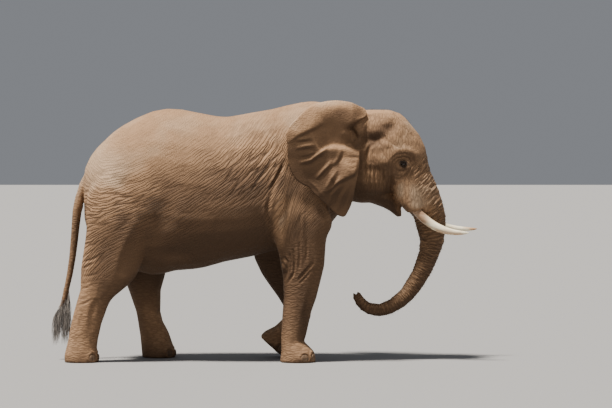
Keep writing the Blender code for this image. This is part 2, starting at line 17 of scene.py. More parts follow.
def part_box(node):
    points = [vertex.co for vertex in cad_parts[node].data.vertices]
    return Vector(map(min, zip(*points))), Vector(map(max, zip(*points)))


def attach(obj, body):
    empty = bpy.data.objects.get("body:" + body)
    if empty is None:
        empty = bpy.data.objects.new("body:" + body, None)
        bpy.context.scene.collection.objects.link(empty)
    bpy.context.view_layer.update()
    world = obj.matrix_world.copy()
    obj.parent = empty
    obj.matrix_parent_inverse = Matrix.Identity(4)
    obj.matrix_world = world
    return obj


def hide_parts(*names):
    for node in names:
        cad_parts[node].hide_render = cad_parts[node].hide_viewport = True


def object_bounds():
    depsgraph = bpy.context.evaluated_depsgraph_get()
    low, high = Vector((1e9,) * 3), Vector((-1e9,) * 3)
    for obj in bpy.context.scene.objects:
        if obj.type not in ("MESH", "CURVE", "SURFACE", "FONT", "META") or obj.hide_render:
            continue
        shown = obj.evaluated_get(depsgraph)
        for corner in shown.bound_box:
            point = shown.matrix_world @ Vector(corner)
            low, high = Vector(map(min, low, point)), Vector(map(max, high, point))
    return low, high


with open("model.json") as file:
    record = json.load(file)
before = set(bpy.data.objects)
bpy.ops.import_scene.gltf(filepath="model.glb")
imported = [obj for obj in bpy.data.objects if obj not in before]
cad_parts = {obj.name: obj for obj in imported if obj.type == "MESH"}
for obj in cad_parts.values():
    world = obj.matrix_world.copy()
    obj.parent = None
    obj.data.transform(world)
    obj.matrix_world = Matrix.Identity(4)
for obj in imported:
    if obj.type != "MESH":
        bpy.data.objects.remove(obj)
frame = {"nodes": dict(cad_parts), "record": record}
CAD_LOW, CAD_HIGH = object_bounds()
SUBPARTS = frame["record"]["subparts"]


def middle_of(node):
    low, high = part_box(node)
    return (low + high) / 2


# Places and sizes, in metres. A pair is x and z.
EYE_PLACE = (1.628, 2.279)  # the middle of the lashes and of the damp dark skin and painted shade of the lids
EYE_LEAD = 0.006  # how far that lies ahead of the eyeball's middle
EYE_RADIUS = 0.024
FORWARD = middle_of("eye_right").x - EYE_PLACE[0] + EYE_LEAD
SIDES = (("right", -1), ("left", 1))
EAR_ROOT_X = 1.12
EAR_LENGTH = 0.85
EAR_MIDDLE = (0.78, 2.42)
EAR_SPAN = CAD_HIGH.y - 0.002  # the ears reach no farther out than the solids do
NAIL_RADII = (0.016, 0.05, 0.042)  # depth, half the width and half the height
HIDE_GRAIN = 0.0085  # spacing of the hide's points while it is shaped
HIDE_SMOOTHINGS = 48
HIDE_FACES = 174000

# Where one region of the body ends and the next begins, along x
TRUNK_FROM = 0.95
CHEST_TO = 1.0
HIND_TO = -0.6

# The middle line of each limb, x and z from the top down
TRUNK_LINE = (
    (1.60, 2.30),
    (1.70, 2.15),
    (1.80, 1.97),
    (1.87, 1.84),
    (1.945, 1.66),
    (1.965, 1.52),
    (1.970, 1.38),
    (1.935, 1.23),
    (1.875, 1.08),
    (1.80, 0.935),
    (1.71, 0.80),
    (1.60, 0.69),
    (1.475, 0.61),
    (1.345, 0.575),
    (1.22, 0.60),
    (1.13, 0.675),
    (1.085, 0.765),
)
TAIL_LINE = (
    (-1.90, 2.24),
    (-2.00, 2.14),
    (-2.075, 2.02),
    (-2.125, 1.88),
    (-2.163, 1.72),
    (-2.180, 1.55),
    (-2.195, 1.38),
    (-2.218, 1.18),
    (-2.247, 1.00),
    (-2.282, 0.84),
    (-2.313, 0.70),
)
TAIL_END = ((-2.285, 0.83), (-2.306, 0.74), (-2.326, 0.67), (-2.345, 0.625), (-2.358, 0.60))
TAIL_END_RADII = (0.024, 0.020, 0.017, 0.013, 0.008)
LEG_LINES = {
    ("fore", -1): ((0.43, 1.60), (0.46, 1.12), (0.43, 0.78), (0.384, 0.5), (0.345, 0.24), (0.395, 0.0)),
    ("fore", 1): ((0.3, 1.72), (0.2, 1.3), (0.31, 0.92), (0.415, 0.59), (0.315, 0.33), (0.112, 0.11)),
    ("hind", -1): ((-1.62, 1.6), (-1.66, 1.3), (-1.8, 0.95), (-1.935, 0.71), (-2.028, 0.4), (-2.083, 0.0)),
    ("hind", 1): ((-1.48, 1.75), (-1.4, 1.0), (-1.375, 0.67), (-1.335, 0.43), (-1.262, 0.19), (-1.238, 0.0)),
}
LEG_MIDDLE_Y = 0.345

# Each foot: its name, the pitch of its sole and the bearings of its nails, in degrees
FEET = (
    ("forefoot_right", 0, (-62, -22, 20, 60)),
    ("forefoot_left", 40, (-62, -22, 20, 60)),
    ("hind_foot_right", 0, (-42, 0, 42)),
    ("hind_foot_left", 0, (-42, 0, 42)),
)


# Curves, falloffs and patterns of cells


def eased_step(value, low=0.0, high=1.0):
    """0 below low, 1 above high, smooth between."""
    t = np.clip((value - low) / (high - low), 0.0, 1.0)
    return t * t * (3 - 2 * t)


def bell(value, width):
    return np.exp(-((value / width) ** 2))


def eased_line(rows, count):
    """count rows on a smooth curve through the rows of a table."""
    rows = np.asarray(rows, float)
    last = len(rows) - 1
    t = np.linspace(0, last, count)
    i = np.minimum(t.astype(int), last - 1)
    s = (t - i)[:, None]
    p, q, r, u = (rows[np.clip(i + k, 0, last)] for k in (-1, 0, 1, 2))
    return q + 0.5 * s * (r - p + s * (2 * p - 5 * q + 4 * r - u + s * (3 * (q - r) + u - p)))


def near_line(places, line):
    """How far each place is from a line of points, to its left where positive, and the length to there."""
    line = np.asarray(line, float)
    best = np.full(len(places), 1e9)
    side = np.ones(len(places))
    where = np.zeros(len(places))
    gone = 0.0
    for a, b in zip(line, line[1:]):
        run = b - a
        length = np.hypot(*run)
        t = np.clip((places - a) @ run / length**2, 0, 1)
        off = places - a - t[:, None] * run
        away = np.hypot(off[:, 0], off[:, 1])
        closer = away < best
        best[closer] = away[closer]
        where[closer] = gone + t[closer] * length
        side[closer] = np.sign(run[0] * off[closer, 1] - run[1] * off[closer, 0])
        gone += length
    return best * side, where, gone


def chance(*whole):
    """A number from 0 to 1 that belongs to a set of whole numbers."""
    mixed = np.zeros_like(whole[0], dtype=float)
    for k, value in enumerate(whole):
        mixed = mixed + value * (127.1, 311.7, 74.7, 269.5)[k]
    return np.modf(np.abs(np.sin(mixed) * 43758.5453))[0]


def clouds(points, size, seed):
    """Soft noise from -1 to 1."""
    p = points / size
    cell = np.floor(p)
    t = p - cell
    t = t * t * (3 - 2 * t)
    total = np.zeros(len(p))
    for corner in np.ndindex(2, 2, 2):
        share = np.prod(np.where(np.array(corner) == 1, t, 1 - t), axis=1)
        x, y, z = (cell + np.array(corner)).T
        total += share * chance(x, y, z, np.full_like(x, seed))
    return 2 * total - 1


def cell_edges(u, v, seed):
    """How far each place is from the edge of its cell, on a grid of uneven cells one across."""
    iu, iv = np.floor(u), np.floor(v)
    first = np.full(len(u), 9.0)
    second = np.full(len(u), 9.0)
    for du in (-1, 0, 1):
        for dv in (-1, 0, 1):
            a, b = iu + du, iv + dv
            seeds = np.full_like(a, seed)
            away = np.hypot(a + chance(a, b, seeds) - u, b + chance(b, a, seeds + 5) - v)
            second = np.minimum(second, np.maximum(away, first))
            first = np.minimum(first, away)
    return second - first


# Meshes


def link(name, mesh):
    obj = bpy.data.objects.new(name, mesh)
    bpy.context.scene.collection.objects.link(obj)
    return obj


def from_bmesh(name, bm):
    mesh = bpy.data.meshes.new(name)
    bm.to_mesh(mesh)
    bm.free()
    return link(name, mesh)


def applied(obj):
    """The object with its modifiers made part of its mesh."""
    graph = bpy.context.evaluated_depsgraph_get()
    mesh = bpy.data.meshes.new_from_object(obj.evaluated_get(graph))
    obj.modifiers.clear()
    obj.data = mesh
    return obj


def read_vectors(mesh, what):
    flat = np.empty(len(mesh.vertices) * 3)
    mesh.vertices.foreach_get(what, flat)
    return flat.reshape(-1, 3)


def set_points(mesh, points):
    mesh.vertices.foreach_set("co", points.ravel())
    mesh.update()


def write_numbers(mesh, name, values):
    kind = "FLOAT" if values.ndim == 1 else "FLOAT_VECTOR"
    data = mesh.attributes.new(name, kind, "POINT").data
    data.foreach_set("value" if values.ndim == 1 else "vector", values.astype(np.float32).ravel())


def ring_strip(bm, loops):
    """Quads between closed loops of points, each loop joined to the next."""
    rings = [[bm.verts.new(p) for p in loop] for loop in loops]
    for a, b in zip(rings, rings[1:]):
        for k in range(len(a)):
            n = (k + 1) % len(a)
            bm.faces.new((a[k], a[n], b[n], b[k]))
    return rings


def cap(bm, ring):
    """Close a ring with a fan about its middle."""
    hub = bm.verts.new(sum((v.co for v in ring), Vector()) / len(ring))
    for k in range(len(ring)):
        bm.faces.new((hub, ring[k], ring[(k + 1) % len(ring)]))


def tube(name, line, radii, sides):
    """A round rod along a line of points in space, closed at both ends."""
    bm = bmesh.new()
    rings = ring_strip(bm, rod_loops(line, radii, sides))
    cap(bm, rings[0])
    cap(bm, rings[-1])
    bmesh.ops.recalc_face_normals(bm, faces=bm.faces)
    return from_bmesh(name, bm)


def rod_loops(line, radii, sides, across=Vector((0, 1, 0))):
    loops = []
    for k, centre in enumerate(line):
        ahead = line[min(k + 1, len(line) - 1)] - line[max(k - 1, 0)]
        first = across.cross(ahead).normalized()
        second = ahead.cross(first).normalized()
        radius = float(radii[k])
        turns = [2 * math.pi * n / sides for n in range(sides)]
        loops.append([centre + radius * (first * math.cos(t) + second * math.sin(t)) for t in turns])
    return loops


# The ears

EAR_RIM = (
    (1.205, 2.865),
    (1.175, 2.92),
    (1.11, 2.95),
    (1.03, 2.985),
    (0.93, 3.003),
    (0.84, 3.010),
    (0.74, 3.00),
    (0.637, 2.977),
    (0.545, 2.94),
    (0.46, 2.87),
    (0.386, 2.795),
    (0.31, 2.71),
    (0.275, 2.62),
    (0.283, 2.50),
    (0.289, 2.362),
    (0.313, 2.23),
    (0.375, 2.115),
    (0.46, 2.045),
    (0.535, 2.01),
    (0.575, 1.955),
    (0.648, 1.887),
    (0.72, 1.82),
    (0.793, 1.75),
    (0.865, 1.69),
    (0.938, 1.672),
    (0.985, 1.735),
    (1.033, 1.849),
    (1.065, 2.009),
    (1.092, 2.134),
    (1.113, 2.262),
    (1.115, 2.38),
    (1.12, 2.50),
    (1.125, 2.62),
    (1.14, 2.72),
    (1.185, 2.80),
)

# Height, width and line of each fold. Ruts and hollows have a negative height.
EAR_FOLDS = (
    # the deep root behind the cheek and the swell of the lobe
    (-0.050, 0.045, ((1.00, 2.71), (1.05, 2.64), (1.08, 2.56))),
    (-0.030, 0.130, ((0.60, 2.68), (0.72, 2.71), (0.86, 2.73), (1.02, 2.72))),
    (0.030, 0.085, ((0.88, 2.28), (0.98, 2.25), (1.06, 2.26))),
    # the level folds of the rear middle
    (0.010, 0.018, ((0.38, 2.55), (0.48, 2.565), (0.58, 2.58))),
    (-0.007, 0.016, ((0.38, 2.52), (0.48, 2.53), (0.56, 2.55))),
    (0.013, 0.018, ((0.38, 2.46), (0.49, 2.485), (0.60, 2.50))),
    (-0.008, 0.016, ((0.38, 2.42), (0.49, 2.44), (0.60, 2.45))),
    (0.010, 0.014, ((0.42, 2.375), (0.52, 2.39), (0.60, 2.42))),
    (0.024, 0.020, ((0.42, 2.29), (0.55, 2.325), (0.65, 2.395), (0.75, 2.47))),
    (-0.007, 0.020, ((0.46, 2.25), (0.56, 2.27), (0.67, 2.34), (0.76, 2.41))),
    # the folds that climb to the middle
    (0.016, 0.020, ((0.61, 2.11), (0.70, 2.21), (0.80, 2.31))),
    (-0.007, 0.020, ((0.66, 2.11), (0.74, 2.19), (0.82, 2.27))),
    (0.010, 0.018, ((0.90, 2.46), (0.885, 2.40), (0.85, 2.32), (0.80, 2.26))),
    (-0.009, 0.012, ((0.925, 2.42), (0.91, 2.36), (0.88, 2.30))),
    (-0.004, 0.014, ((0.96, 2.36), (1.03, 2.35), (1.09, 2.36))),
    (-0.003, 0.012, ((0.95, 2.29), (1.02, 2.285), (1.09, 2.30))),
    (-0.003, 0.012, ((0.96, 2.23), (1.03, 2.23), (1.09, 2.25))),
    # the ridges that fan out to the lower tip
    (0.017, 0.018, ((0.73, 2.00), (0.79, 2.12), (0.87, 2.23))),
    (-0.008, 0.016, ((0.77, 2.00), (0.84, 2.10), (0.89, 2.17))),
    (0.016, 0.018, ((0.72, 1.95), (0.84, 2.05), (0.93, 2.12))),
    (0.020, 0.018, ((0.77, 1.80), (0.80, 1.93), (0.90, 2.05))),
    (-0.010, 0.016, ((0.82, 1.76), (0.86, 1.90), (0.94, 2.03))),
    (0.013, 0.016, ((0.87, 1.74), (0.91, 1.88), (0.98, 2.04))),
    (-0.008, 0.016, ((0.92, 1.73), (0.97, 1.88), (1.02, 2.03))),
    (0.008, 0.014, ((0.52, 2.10), (0.62, 2.01), (0.70, 1.90))),
)
# Rolls stand out, or sink in, gently on the left of their line and sharply on its right.
EAR_ROLLS = (
    (0.026, 0.024, ((0.24, 2.51), (0.40, 2.605), (0.51, 2.66), (0.62, 2.71), (0.70, 2.76))),
    (-0.060, 0.042, ((0.64, 2.46), (0.72, 2.50), (0.82, 2.52), (0.94, 2.505), (1.04, 2.50), (1.14, 2.50))),
    (0.042, 0.022, ((0.82, 2.05), (0.90, 2.095), (0.97, 2.13), (1.05, 2.17), (1.10, 2.24), (1.12, 2.34))),
)
BROAD_FOLD = 0.075  # the width past which a fold fades slowly at its ends


def faded(where, length, width=0.0):
    """1 along a fold and 0 at its two ends."""
    return np.clip(np.sin(np.pi * where / length), 0, 1) ** (0.5 if width < BROAD_FOLD else 1.3)


def folded(places, folds, rolls=()):
    """How far the folds stand out at places of x and z."""
    out = np.zeros(len(places))
    for height, width, line in folds:
        reach = 3 * width
        low, high = np.min(line, axis=0) - reach, np.max(line, axis=0) + reach
        near = np.nonzero(np.all((places > low) & (places < high), axis=1))[0]
        away, where, length = near_line(places[near], line)
        lip = 0 if height > 0 else 0.3 * bell(np.abs(away) - 1.9 * width, 0.8 * width)
        out[near] += height * (bell(away, width) - lip) * faded(where, length, width)
    for height, width, line in rolls:
        away, where, length = near_line(places, line)
        shape = np.where(away > 0, bell(away, 4 * width), bell(away, width))
        out += height * shape * faded(where, length)
    return out


def ear_sheet_y(x, z):
    """How far from the middle plane the ear stands before its folds."""
    # it swings out from its root to its rear edge
    turn = (EAR_ROOT_X - x) / EAR_LENGTH
    flare = 0.31 * (0.5 * (turn + np.sqrt(turn**2 + 0.006))) ** 0.6
    # under the flap of its upper edge the root sinks into the head
    flap = 2.70 + 0.47 * (x - 1.04)
    root = eased_step((x - 0.92) / 0.2) * eased_step((z - 2.36) / 0.2) * (1 - eased_step(z - flap, 0, 0.06))
    # the upper edge leans in, and so does its front corner
    corner = 0.09 * eased_step(x, 1.02, 1.19) * eased_step(z, 2.70, 2.84)
    tuck = 1.5 * np.maximum(0.0, z - 2.74) ** 2 + corner
    # the lower half swells, and its rear edge and tip lie against the neck
    lobe = 0.035 * np.sin(np.pi * np.clip((2.35 - z) / 0.7, 0, 1))
    rear = 0.070 * eased_step(2.50 - z, 0, 0.42) * eased_step(0.90 - x, 0, 0.40)
    tip = 0.075 * eased_step(2.16 - z, 0, 0.40)
    sheet = 0.335 + flare - tuck + lobe - root * 0.12
    return sheet - np.maximum(rear, tip)


EAR_SPOKES = 300
EAR_RINGS = 100
EAR_HALF = 0.016  # half the thickness at the middle
EAR_ROUNDING = 0.02  # the share of the way out over which the rim is rounded


def ear_sheet(side):
    """The ear as a closed sheet of fine rings about its middle."""
    rim = eased_line(EAR_RIM + EAR_RIM[:1], EAR_SPOKES + 1)[:-1]
    reaches = np.linspace(0.0, 1.0, EAR_RINGS + 1)[1:] ** 0.8
    loops = {1: [], -1: []}
    for reach in reaches:
        x = EAR_MIDDLE[0] + (rim[:, 0] - EAR_MIDDLE[0]) * reach
        z = EAR_MIDDLE[1] + (rim[:, 1] - EAR_MIDDLE[1]) * reach
        edge = min(1.0, (1 - reach) / EAR_ROUNDING)
        half = (EAR_HALF - 0.006 * reach**2) * math.sqrt(1 - (1 - edge) ** 2) + 0.001
        middle = ear_sheet_y(x, z)
        folds = folded(np.stack([x, z], axis=-1), EAR_FOLDS, EAR_ROLLS)
        folds *= 1 - 0.7 * eased_step(reach, 0.88, 1.0)
        for out in loops:
            y = np.minimum(middle + folds, EAR_SPAN - half) + out * half
            loops[out].append(np.stack([x, side * y, z], axis=-1))
    bm = bmesh.new()
    faces = {out: ring_strip(bm, loops[out]) for out in loops}
    for out in loops:
        cap(bm, faces[out][0])
    outer, inner = faces[1][-1], faces[-1][-1]
    for k in range(len(outer)):
        n = (k + 1) % len(outer)
        bm.faces.new((outer[k], inner[k], inner[n], outer[n]))
    bmesh.ops.recalc_face_normals(bm, faces=bm.faces)
    return from_bmesh("ear", bm)


def within(places, outline):
    """Which places of x and z lie inside an outline."""
    x, z = places.T
    inside = np.zeros(len(places), bool)
    for a, b in zip(outline, np.roll(outline, -1, axis=0)):
        if a[1] == b[1]:
            continue
        spans = (a[1] > z) != (b[1] > z)
        inside ^= spans & (x < (b[0] - a[0]) * (z - a[1]) / (b[1] - a[1]) + a[0])
    return inside


def on_ear(points):
    """1 on the ears, 0 off them, and between where their roots sink into the head."""
    x, y, z = points.T
    rim = np.array(EAR_RIM)
    rim = EAR_MIDDLE + (rim - EAR_MIDDLE) * 1.02
    close = np.abs(np.abs(y) - ear_sheet_y(x, z)) < 0.06
    sunk = eased_step(x, 0.99, 1.06) * eased_step(z, 2.38, 2.46) * (1 - eased_step(z, 2.70, 2.76))
    return within(points[:, [0, 2]], rim) * close * (1 - sunk)


# The hide

SHEATH_END = (1.80, 1.735)
SHEATH_FACES = (0.55, -0.85)


def flesh():
    """The solids of flesh but the ears as one mesh, with what sits in its sockets to close them."""
    bm = bmesh.new()
    for part in SUBPARTS:
        node = part["node"]
        if part["material_slot"] in ("hair", "nail") or node.startswith("ear"):
            continue
        copy = frame["nodes"][node].data.copy()
        own = bmesh.new()
        own.from_mesh(copy)
        bmesh.ops.remove_doubles(own, verts=own.verts, dist=1e-5)
        if part["material_slot"] == "ivory":
            keep_root(own)
        own.to_mesh(copy)
        own.free()
        bm.from_mesh(copy)
    bmesh.ops.translate(bm, verts=bm.verts, vec=(-FORWARD, 0, 0))
    return from_bmesh("hide", bm)


def keep_root(bm):
    """Cut a tusk down to the part inside its sheath."""
    bmesh.ops.bisect_plane(
        bm,
        geom=bm.verts[:] + bm.edges[:] + bm.faces[:],
        plane_co=(SHEATH_END[0] + FORWARD, 0, SHEATH_END[1]),
        plane_no=(SHEATH_FACES[0], 0, SHEATH_FACES[1]),
        clear_outer=True,
    )
    bmesh.ops.triangle_fill(bm, edges=[e for e in bm.edges if e.is_boundary], use_beauty=True)


def relaxed(points, edges, share, rounds):
    """The points smoothed along the surface without shrinking, each by a share of its own."""
    count = len(points)
    share = (share * 0.5)[:, None]
    a, b = edges[:, 0], edges[:, 1]
    near = np.maximum(np.bincount(a, minlength=count) + np.bincount(b, minlength=count), 1)[:, None]

    def smooth(values):
        for _ in range(rounds):
            columns = values.T
            sums = [np.bincount(a, c[b], count) + np.bincount(b, c[a], count) for c in columns]
            values = values + share * (np.stack(sums, axis=-1) / near - values)
        return values

    low = smooth(points)
    return low + smooth(points - low)


def suppleness(points):
    """How much each place is smoothed: the barrel fully, slim and sharp parts little."""
    x, y, z = points.T
    share = 1 - 0.45 * eased_step(1.15 - z, 0.0, 0.3)
    share *= 1 - 0.6 * eased_step(x, 1.0, 1.2)
    trunk = np.abs(near_line(points[:, [0, 2]], TRUNK_LINE[4:])[0])
    share = np.where((trunk < 0.2) & (np.abs(y) < 0.25), np.minimum(share, 0.3), share)
    lip = (x > 1.3) & (x < 1.63) & (z < 1.95) & (z > 1.6)
    share = np.where(lip, np.minimum(share, 0.15), share)
    share = np.where((x < -2.08) & (np.abs(y) < 0.1), 0.12, share)
    return share + (0.05 - share) * on_ear(points)


def grown_hide():
    """Flesh, ears and the end of the tail grown together under one smoothed skin."""
    obj = flesh()
    bm = bmesh.new()
    bm.from_mesh(obj.data)
    grown = [ear_sheet(side) for _, side in SIDES]
    grown.append(tube("tail end", [Vector((x, 0, z)) for x, z in TAIL_END], TAIL_END_RADII, 16))
    for own in grown:
        bm.from_mesh(own.data)
        bpy.data.objects.remove(own)
    bm.to_mesh(obj.data)
    bm.free()
    grow = obj.modifiers.new("grow together", "REMESH")
    grow.mode = "VOXEL"
    grow.voxel_size = HIDE_GRAIN
    applied(obj)
    mesh = obj.data
    ends = np.empty(len(mesh.edges) * 2, np.int64)
    mesh.edges.foreach_get("vertices", ends)
    points = read_vectors(mesh, "co")
    set_points(mesh, relaxed(points, ends.reshape(-1, 2), suppleness(points), HIDE_SMOOTHINGS))
    return obj


# Folds of the head, both sides alike: height, width and line, as for the ears
HEAD_FOLDS = (
    # the hollows of the temple, the cheekbone below them and the deep root of the ear
    (-0.028, 0.052, ((1.18, 2.56), (1.29, 2.55), (1.42, 2.59))),
    (-0.020, 0.050, ((1.42, 2.66), (1.49, 2.71), (1.56, 2.77))),
    (0.016, 0.070, ((1.36, 2.50), (1.48, 2.53), (1.60, 2.55))),
    (-0.006, 0.050, ((1.71, 2.64), (1.75, 2.56))),
    (-0.050, 0.045, ((1.00, 2.70), (1.05, 2.63), (1.08, 2.55))),
    (0.016, 0.018, ((1.02, 2.72), (1.07, 2.665), (1.13, 2.60))),
    (-0.020, 0.050, ((1.13, 2.80), (1.135, 2.72), (1.14, 2.64), (1.15, 2.54), (1.15, 2.44))),
    # the brow, the socket below it and the folds round the eye
    (0.014, 0.040, ((1.48, 2.39), (1.55, 2.435), (1.64, 2.45), (1.73, 2.42), (1.79, 2.36))),
    (-0.020, 0.046, ((1.52, 2.29), (1.60, 2.32), (1.70, 2.32), (1.78, 2.27))),
    (-0.007, 0.009, ((1.50, 2.24), (1.50, 2.30), (1.55, 2.345), (1.63, 2.36), (1.69, 2.34), (1.72, 2.29))),
    (-0.005, 0.009, ((1.46, 2.25), (1.46, 2.32), (1.53, 2.38), (1.63, 2.40), (1.71, 2.37), (1.76, 2.30))),
    (-0.005, 0.010, ((1.51, 2.23), (1.56, 2.20), (1.62, 2.195), (1.67, 2.22))),
    (0.005, 0.014, ((1.50, 2.18), (1.56, 2.16), (1.62, 2.16), (1.68, 2.19))),
    (-0.007, 0.012, ((1.49, 2.12), (1.56, 2.10), (1.63, 2.13), (1.69, 2.19))),
    # the corner of the mouth and the back of the cheek
    (-0.034, 0.022, ((1.49, 2.15), (1.48, 2.10), (1.50, 2.03), (1.52, 1.95))),
    (-0.020, 0.020, ((1.28, 2.52), (1.23, 2.46), (1.20, 2.38), (1.19, 2.25), (1.19, 2.05))),
    (0.007, 0.022, ((1.13, 2.56), (1.15, 2.48), (1.15, 2.34), (1.14, 2.18))),
    (-0.016, 0.012, ((1.24, 2.27), (1.24, 2.10), (1.23, 1.95))),
    (-0.016, 0.012, ((1.285, 2.26), (1.29, 2.09), (1.28, 1.95))),
    (-0.015, 0.012, ((1.335, 2.27), (1.34, 2.09), (1.33, 1.95))),
    (-0.013, 0.012, ((1.385, 2.23), (1.39, 2.08), (1.385, 1.96))),
    (-0.010, 0.012, ((1.435, 2.19), (1.44, 2.07), (1.435, 1.97))),
    (-0.014, 0.018, ((1.93, 1.99), (1.99, 2.04), (2.05, 2.04))),
)
HEAD_ROLLS = (
    (0.012, 0.018, ((1.12, 1.95), (1.28, 1.95), (1.45, 1.96))),
    (0.030, 0.045, ((1.17, 2.30), (1.26, 2.27), (1.36, 2.27), (1.44, 2.31), (1.50, 2.38), (1.55, 2.47))),
)

# Folds and muscles of the trunk of the body, both sides alike
ARM_REAR_EDGE = ((0.11, 1.97), (0.06, 1.80), (0.06, 1.67), (0.10, 1.52), (0.17, 1.26))
THIGH_VALLEY = ((-1.12, 2.00), (-1.14, 1.86), (-1.17, 1.66), (-1.24, 1.46), (-1.31, 1.28), (-1.40, 1.06))
FLANK_FOLDS = (
    # the fold behind the shoulder and the ruts that run into it
    (-0.022, 0.022, ((0.26, 2.34), (0.20, 2.17), *ARM_REAR_EDGE)),
    (-0.010, 0.016, ((0.25, 2.27), (0.15, 2.10), (0.03, 1.90))),
    (-0.008, 0.016, ((0.22, 2.44), (0.10, 2.28), (-0.04, 2.10), (-0.13, 1.94))),
    (-0.006, 0.016, ((0.15, 2.54), (0.01, 2.35), (-0.15, 2.17), (-0.29, 2.01))),
    (0.014, 0.120, ((0.32, 2.15), (0.34, 1.80), (0.38, 1.40))),
    (0.034, 0.075, ((0.26, 2.16), (0.20, 1.90), (0.18, 1.68), (0.20, 1.48), (0.26, 1.22))),
    (0.008, 0.022, ((0.47, 2.05), (0.47, 1.70), (0.45, 1.28))),
    # the valley between the thigh and the belly, the cord of the thigh and the point of the hip
    (-0.028, 0.120, THIGH_VALLEY),
    (0.008, 0.045, ((-1.46, 1.66), (-1.55, 1.45), (-1.64, 1.20), (-1.70, 0.98))),
    (-0.006, 0.060, ((-1.47, 1.42), (-1.56, 1.22), (-1.62, 1.00))),
    (0.014, 0.150, ((-1.42, 2.44), (-1.16, 2.47), (-0.90, 2.49))),
)
FLANK_ROLLS = ((0.022, 0.030, ((0.22, 2.20), *ARM_REAR_EDGE)),)

# Folds of the elbow of the planted foreleg and of the hock of the trailing hind leg
ELBOW_FOLDS = (
    (0.016, 0.034, ((0.25, 1.17), (0.25, 1.04))),
    (-0.012, 0.013, ((0.20, 1.17), (0.25, 1.21), (0.29, 1.16), (0.29, 1.06), (0.25, 0.94))),
    (-0.010, 0.011, ((0.19, 1.13), (0.24, 1.15), (0.27, 1.10), (0.26, 1.03), (0.22, 0.98))),
    (-0.013, 0.014, ((0.35, 1.31), (0.37, 1.16), (0.36, 1.03), (0.29, 0.91))),
    (-0.010, 0.014, ((0.31, 1.26), (0.33, 1.14), (0.33, 1.04))),
    (-0.010, 0.014, ((0.42, 1.39), (0.43, 1.23), (0.42, 1.08))),
    (-0.012, 0.016, ((0.40, 0.94), (0.48, 1.03), (0.58, 1.15))),
    (-0.008, 0.014, ((0.41, 0.90), (0.49, 0.98), (0.56, 1.07))),
    (-0.008, 0.014, ((0.50, 1.42), (0.51, 1.30), (0.50, 1.16))),
)


HOCK_FOLDS = 7


def hock_folds():
    """Slanting folds up the back of the hind leg, from the rear edge forward, each shorter or longer."""
    rng = random.Random(12)
    rows = []
    for k in range(HOCK_FOLDS):
        z = 0.66 + 0.085 * k + rng.uniform(-0.02, 0.02)
        x = -2.11 + 0.008 * k
        run = rng.uniform(0.08, 0.22)
        rise = run * rng.uniform(0.2, 0.6)
        line = ((x, z), (x + run / 2, z + rise / 3), (x + run, z + rise))
        rows.append((rng.uniform(-0.006, -0.003), 0.013, line))
    rows.append((-0.014, 0.032, ((-1.90, 0.74), (-1.95, 0.55), (-1.97, 0.36))))
    return rows


# Where the ruts of the hide run deep: x, z, reach along, reach up, strength
RUT_PLACES = (
    (-0.02, 2.26, 0.40, 0.42, 1.0),
    (-0.33, 2.15, 0.40, 0.34, 0.85),
    (-1.70, 1.85, 0.48, 0.36, 0.95),
    (-1.30, 1.85, 0.40, 0.30, 0.7),
    (-1.96, 1.20, 0.22, 0.45, 0.8),
    (-0.95, 1.65, 0.25, 0.30, 0.5),
    (0.30, 1.78, 0.32, 0.40, 0.7),
    (0.28, 1.20, 0.28, 0.35, 0.5),
)
# Slope of the wrinkles along the flank: x, degrees that they rise to the front
WRINKLE_SLOPES = (
    (-2.2, 70),
    (-2.0, 52),
    (-1.85, 32),
    (-1.6, 20),
    (-1.2, 25),
    (-0.9, 28),
    (-0.6, 33),
    (-0.3, 43),
    (0.0, 52),
    (0.25, 54),
    (0.45, 30),
    (0.9, 10),
)


def wrinkle_slope(x):
    """How steeply the wrinkles of the flank rise to the front, in radians."""
    table = np.array(WRINKLE_SLOPES)
    return np.radians(np.interp(x, table[:, 0], table[:, 1]))


def flank_lie(points):
    """Where each point lies across and along the wrinkles of body and head."""
    x, _, z = points.T
    steps = np.linspace(-2.6, 2.6, 1041)
    climb = np.cumsum(np.tan(wrinkle_slope(steps))) * (steps[1] - steps[0])
    run = np.cumsum(1 / np.cos(wrinkle_slope(steps))) * (steps[1] - steps[0])
    climb -= np.interp(-0.4, steps, climb) - 0.1
    across = (z - 2.0 - np.interp(x, steps, climb)) * np.cos(wrinkle_slope(x))
    along = np.interp(x, steps, run)
    return across, along


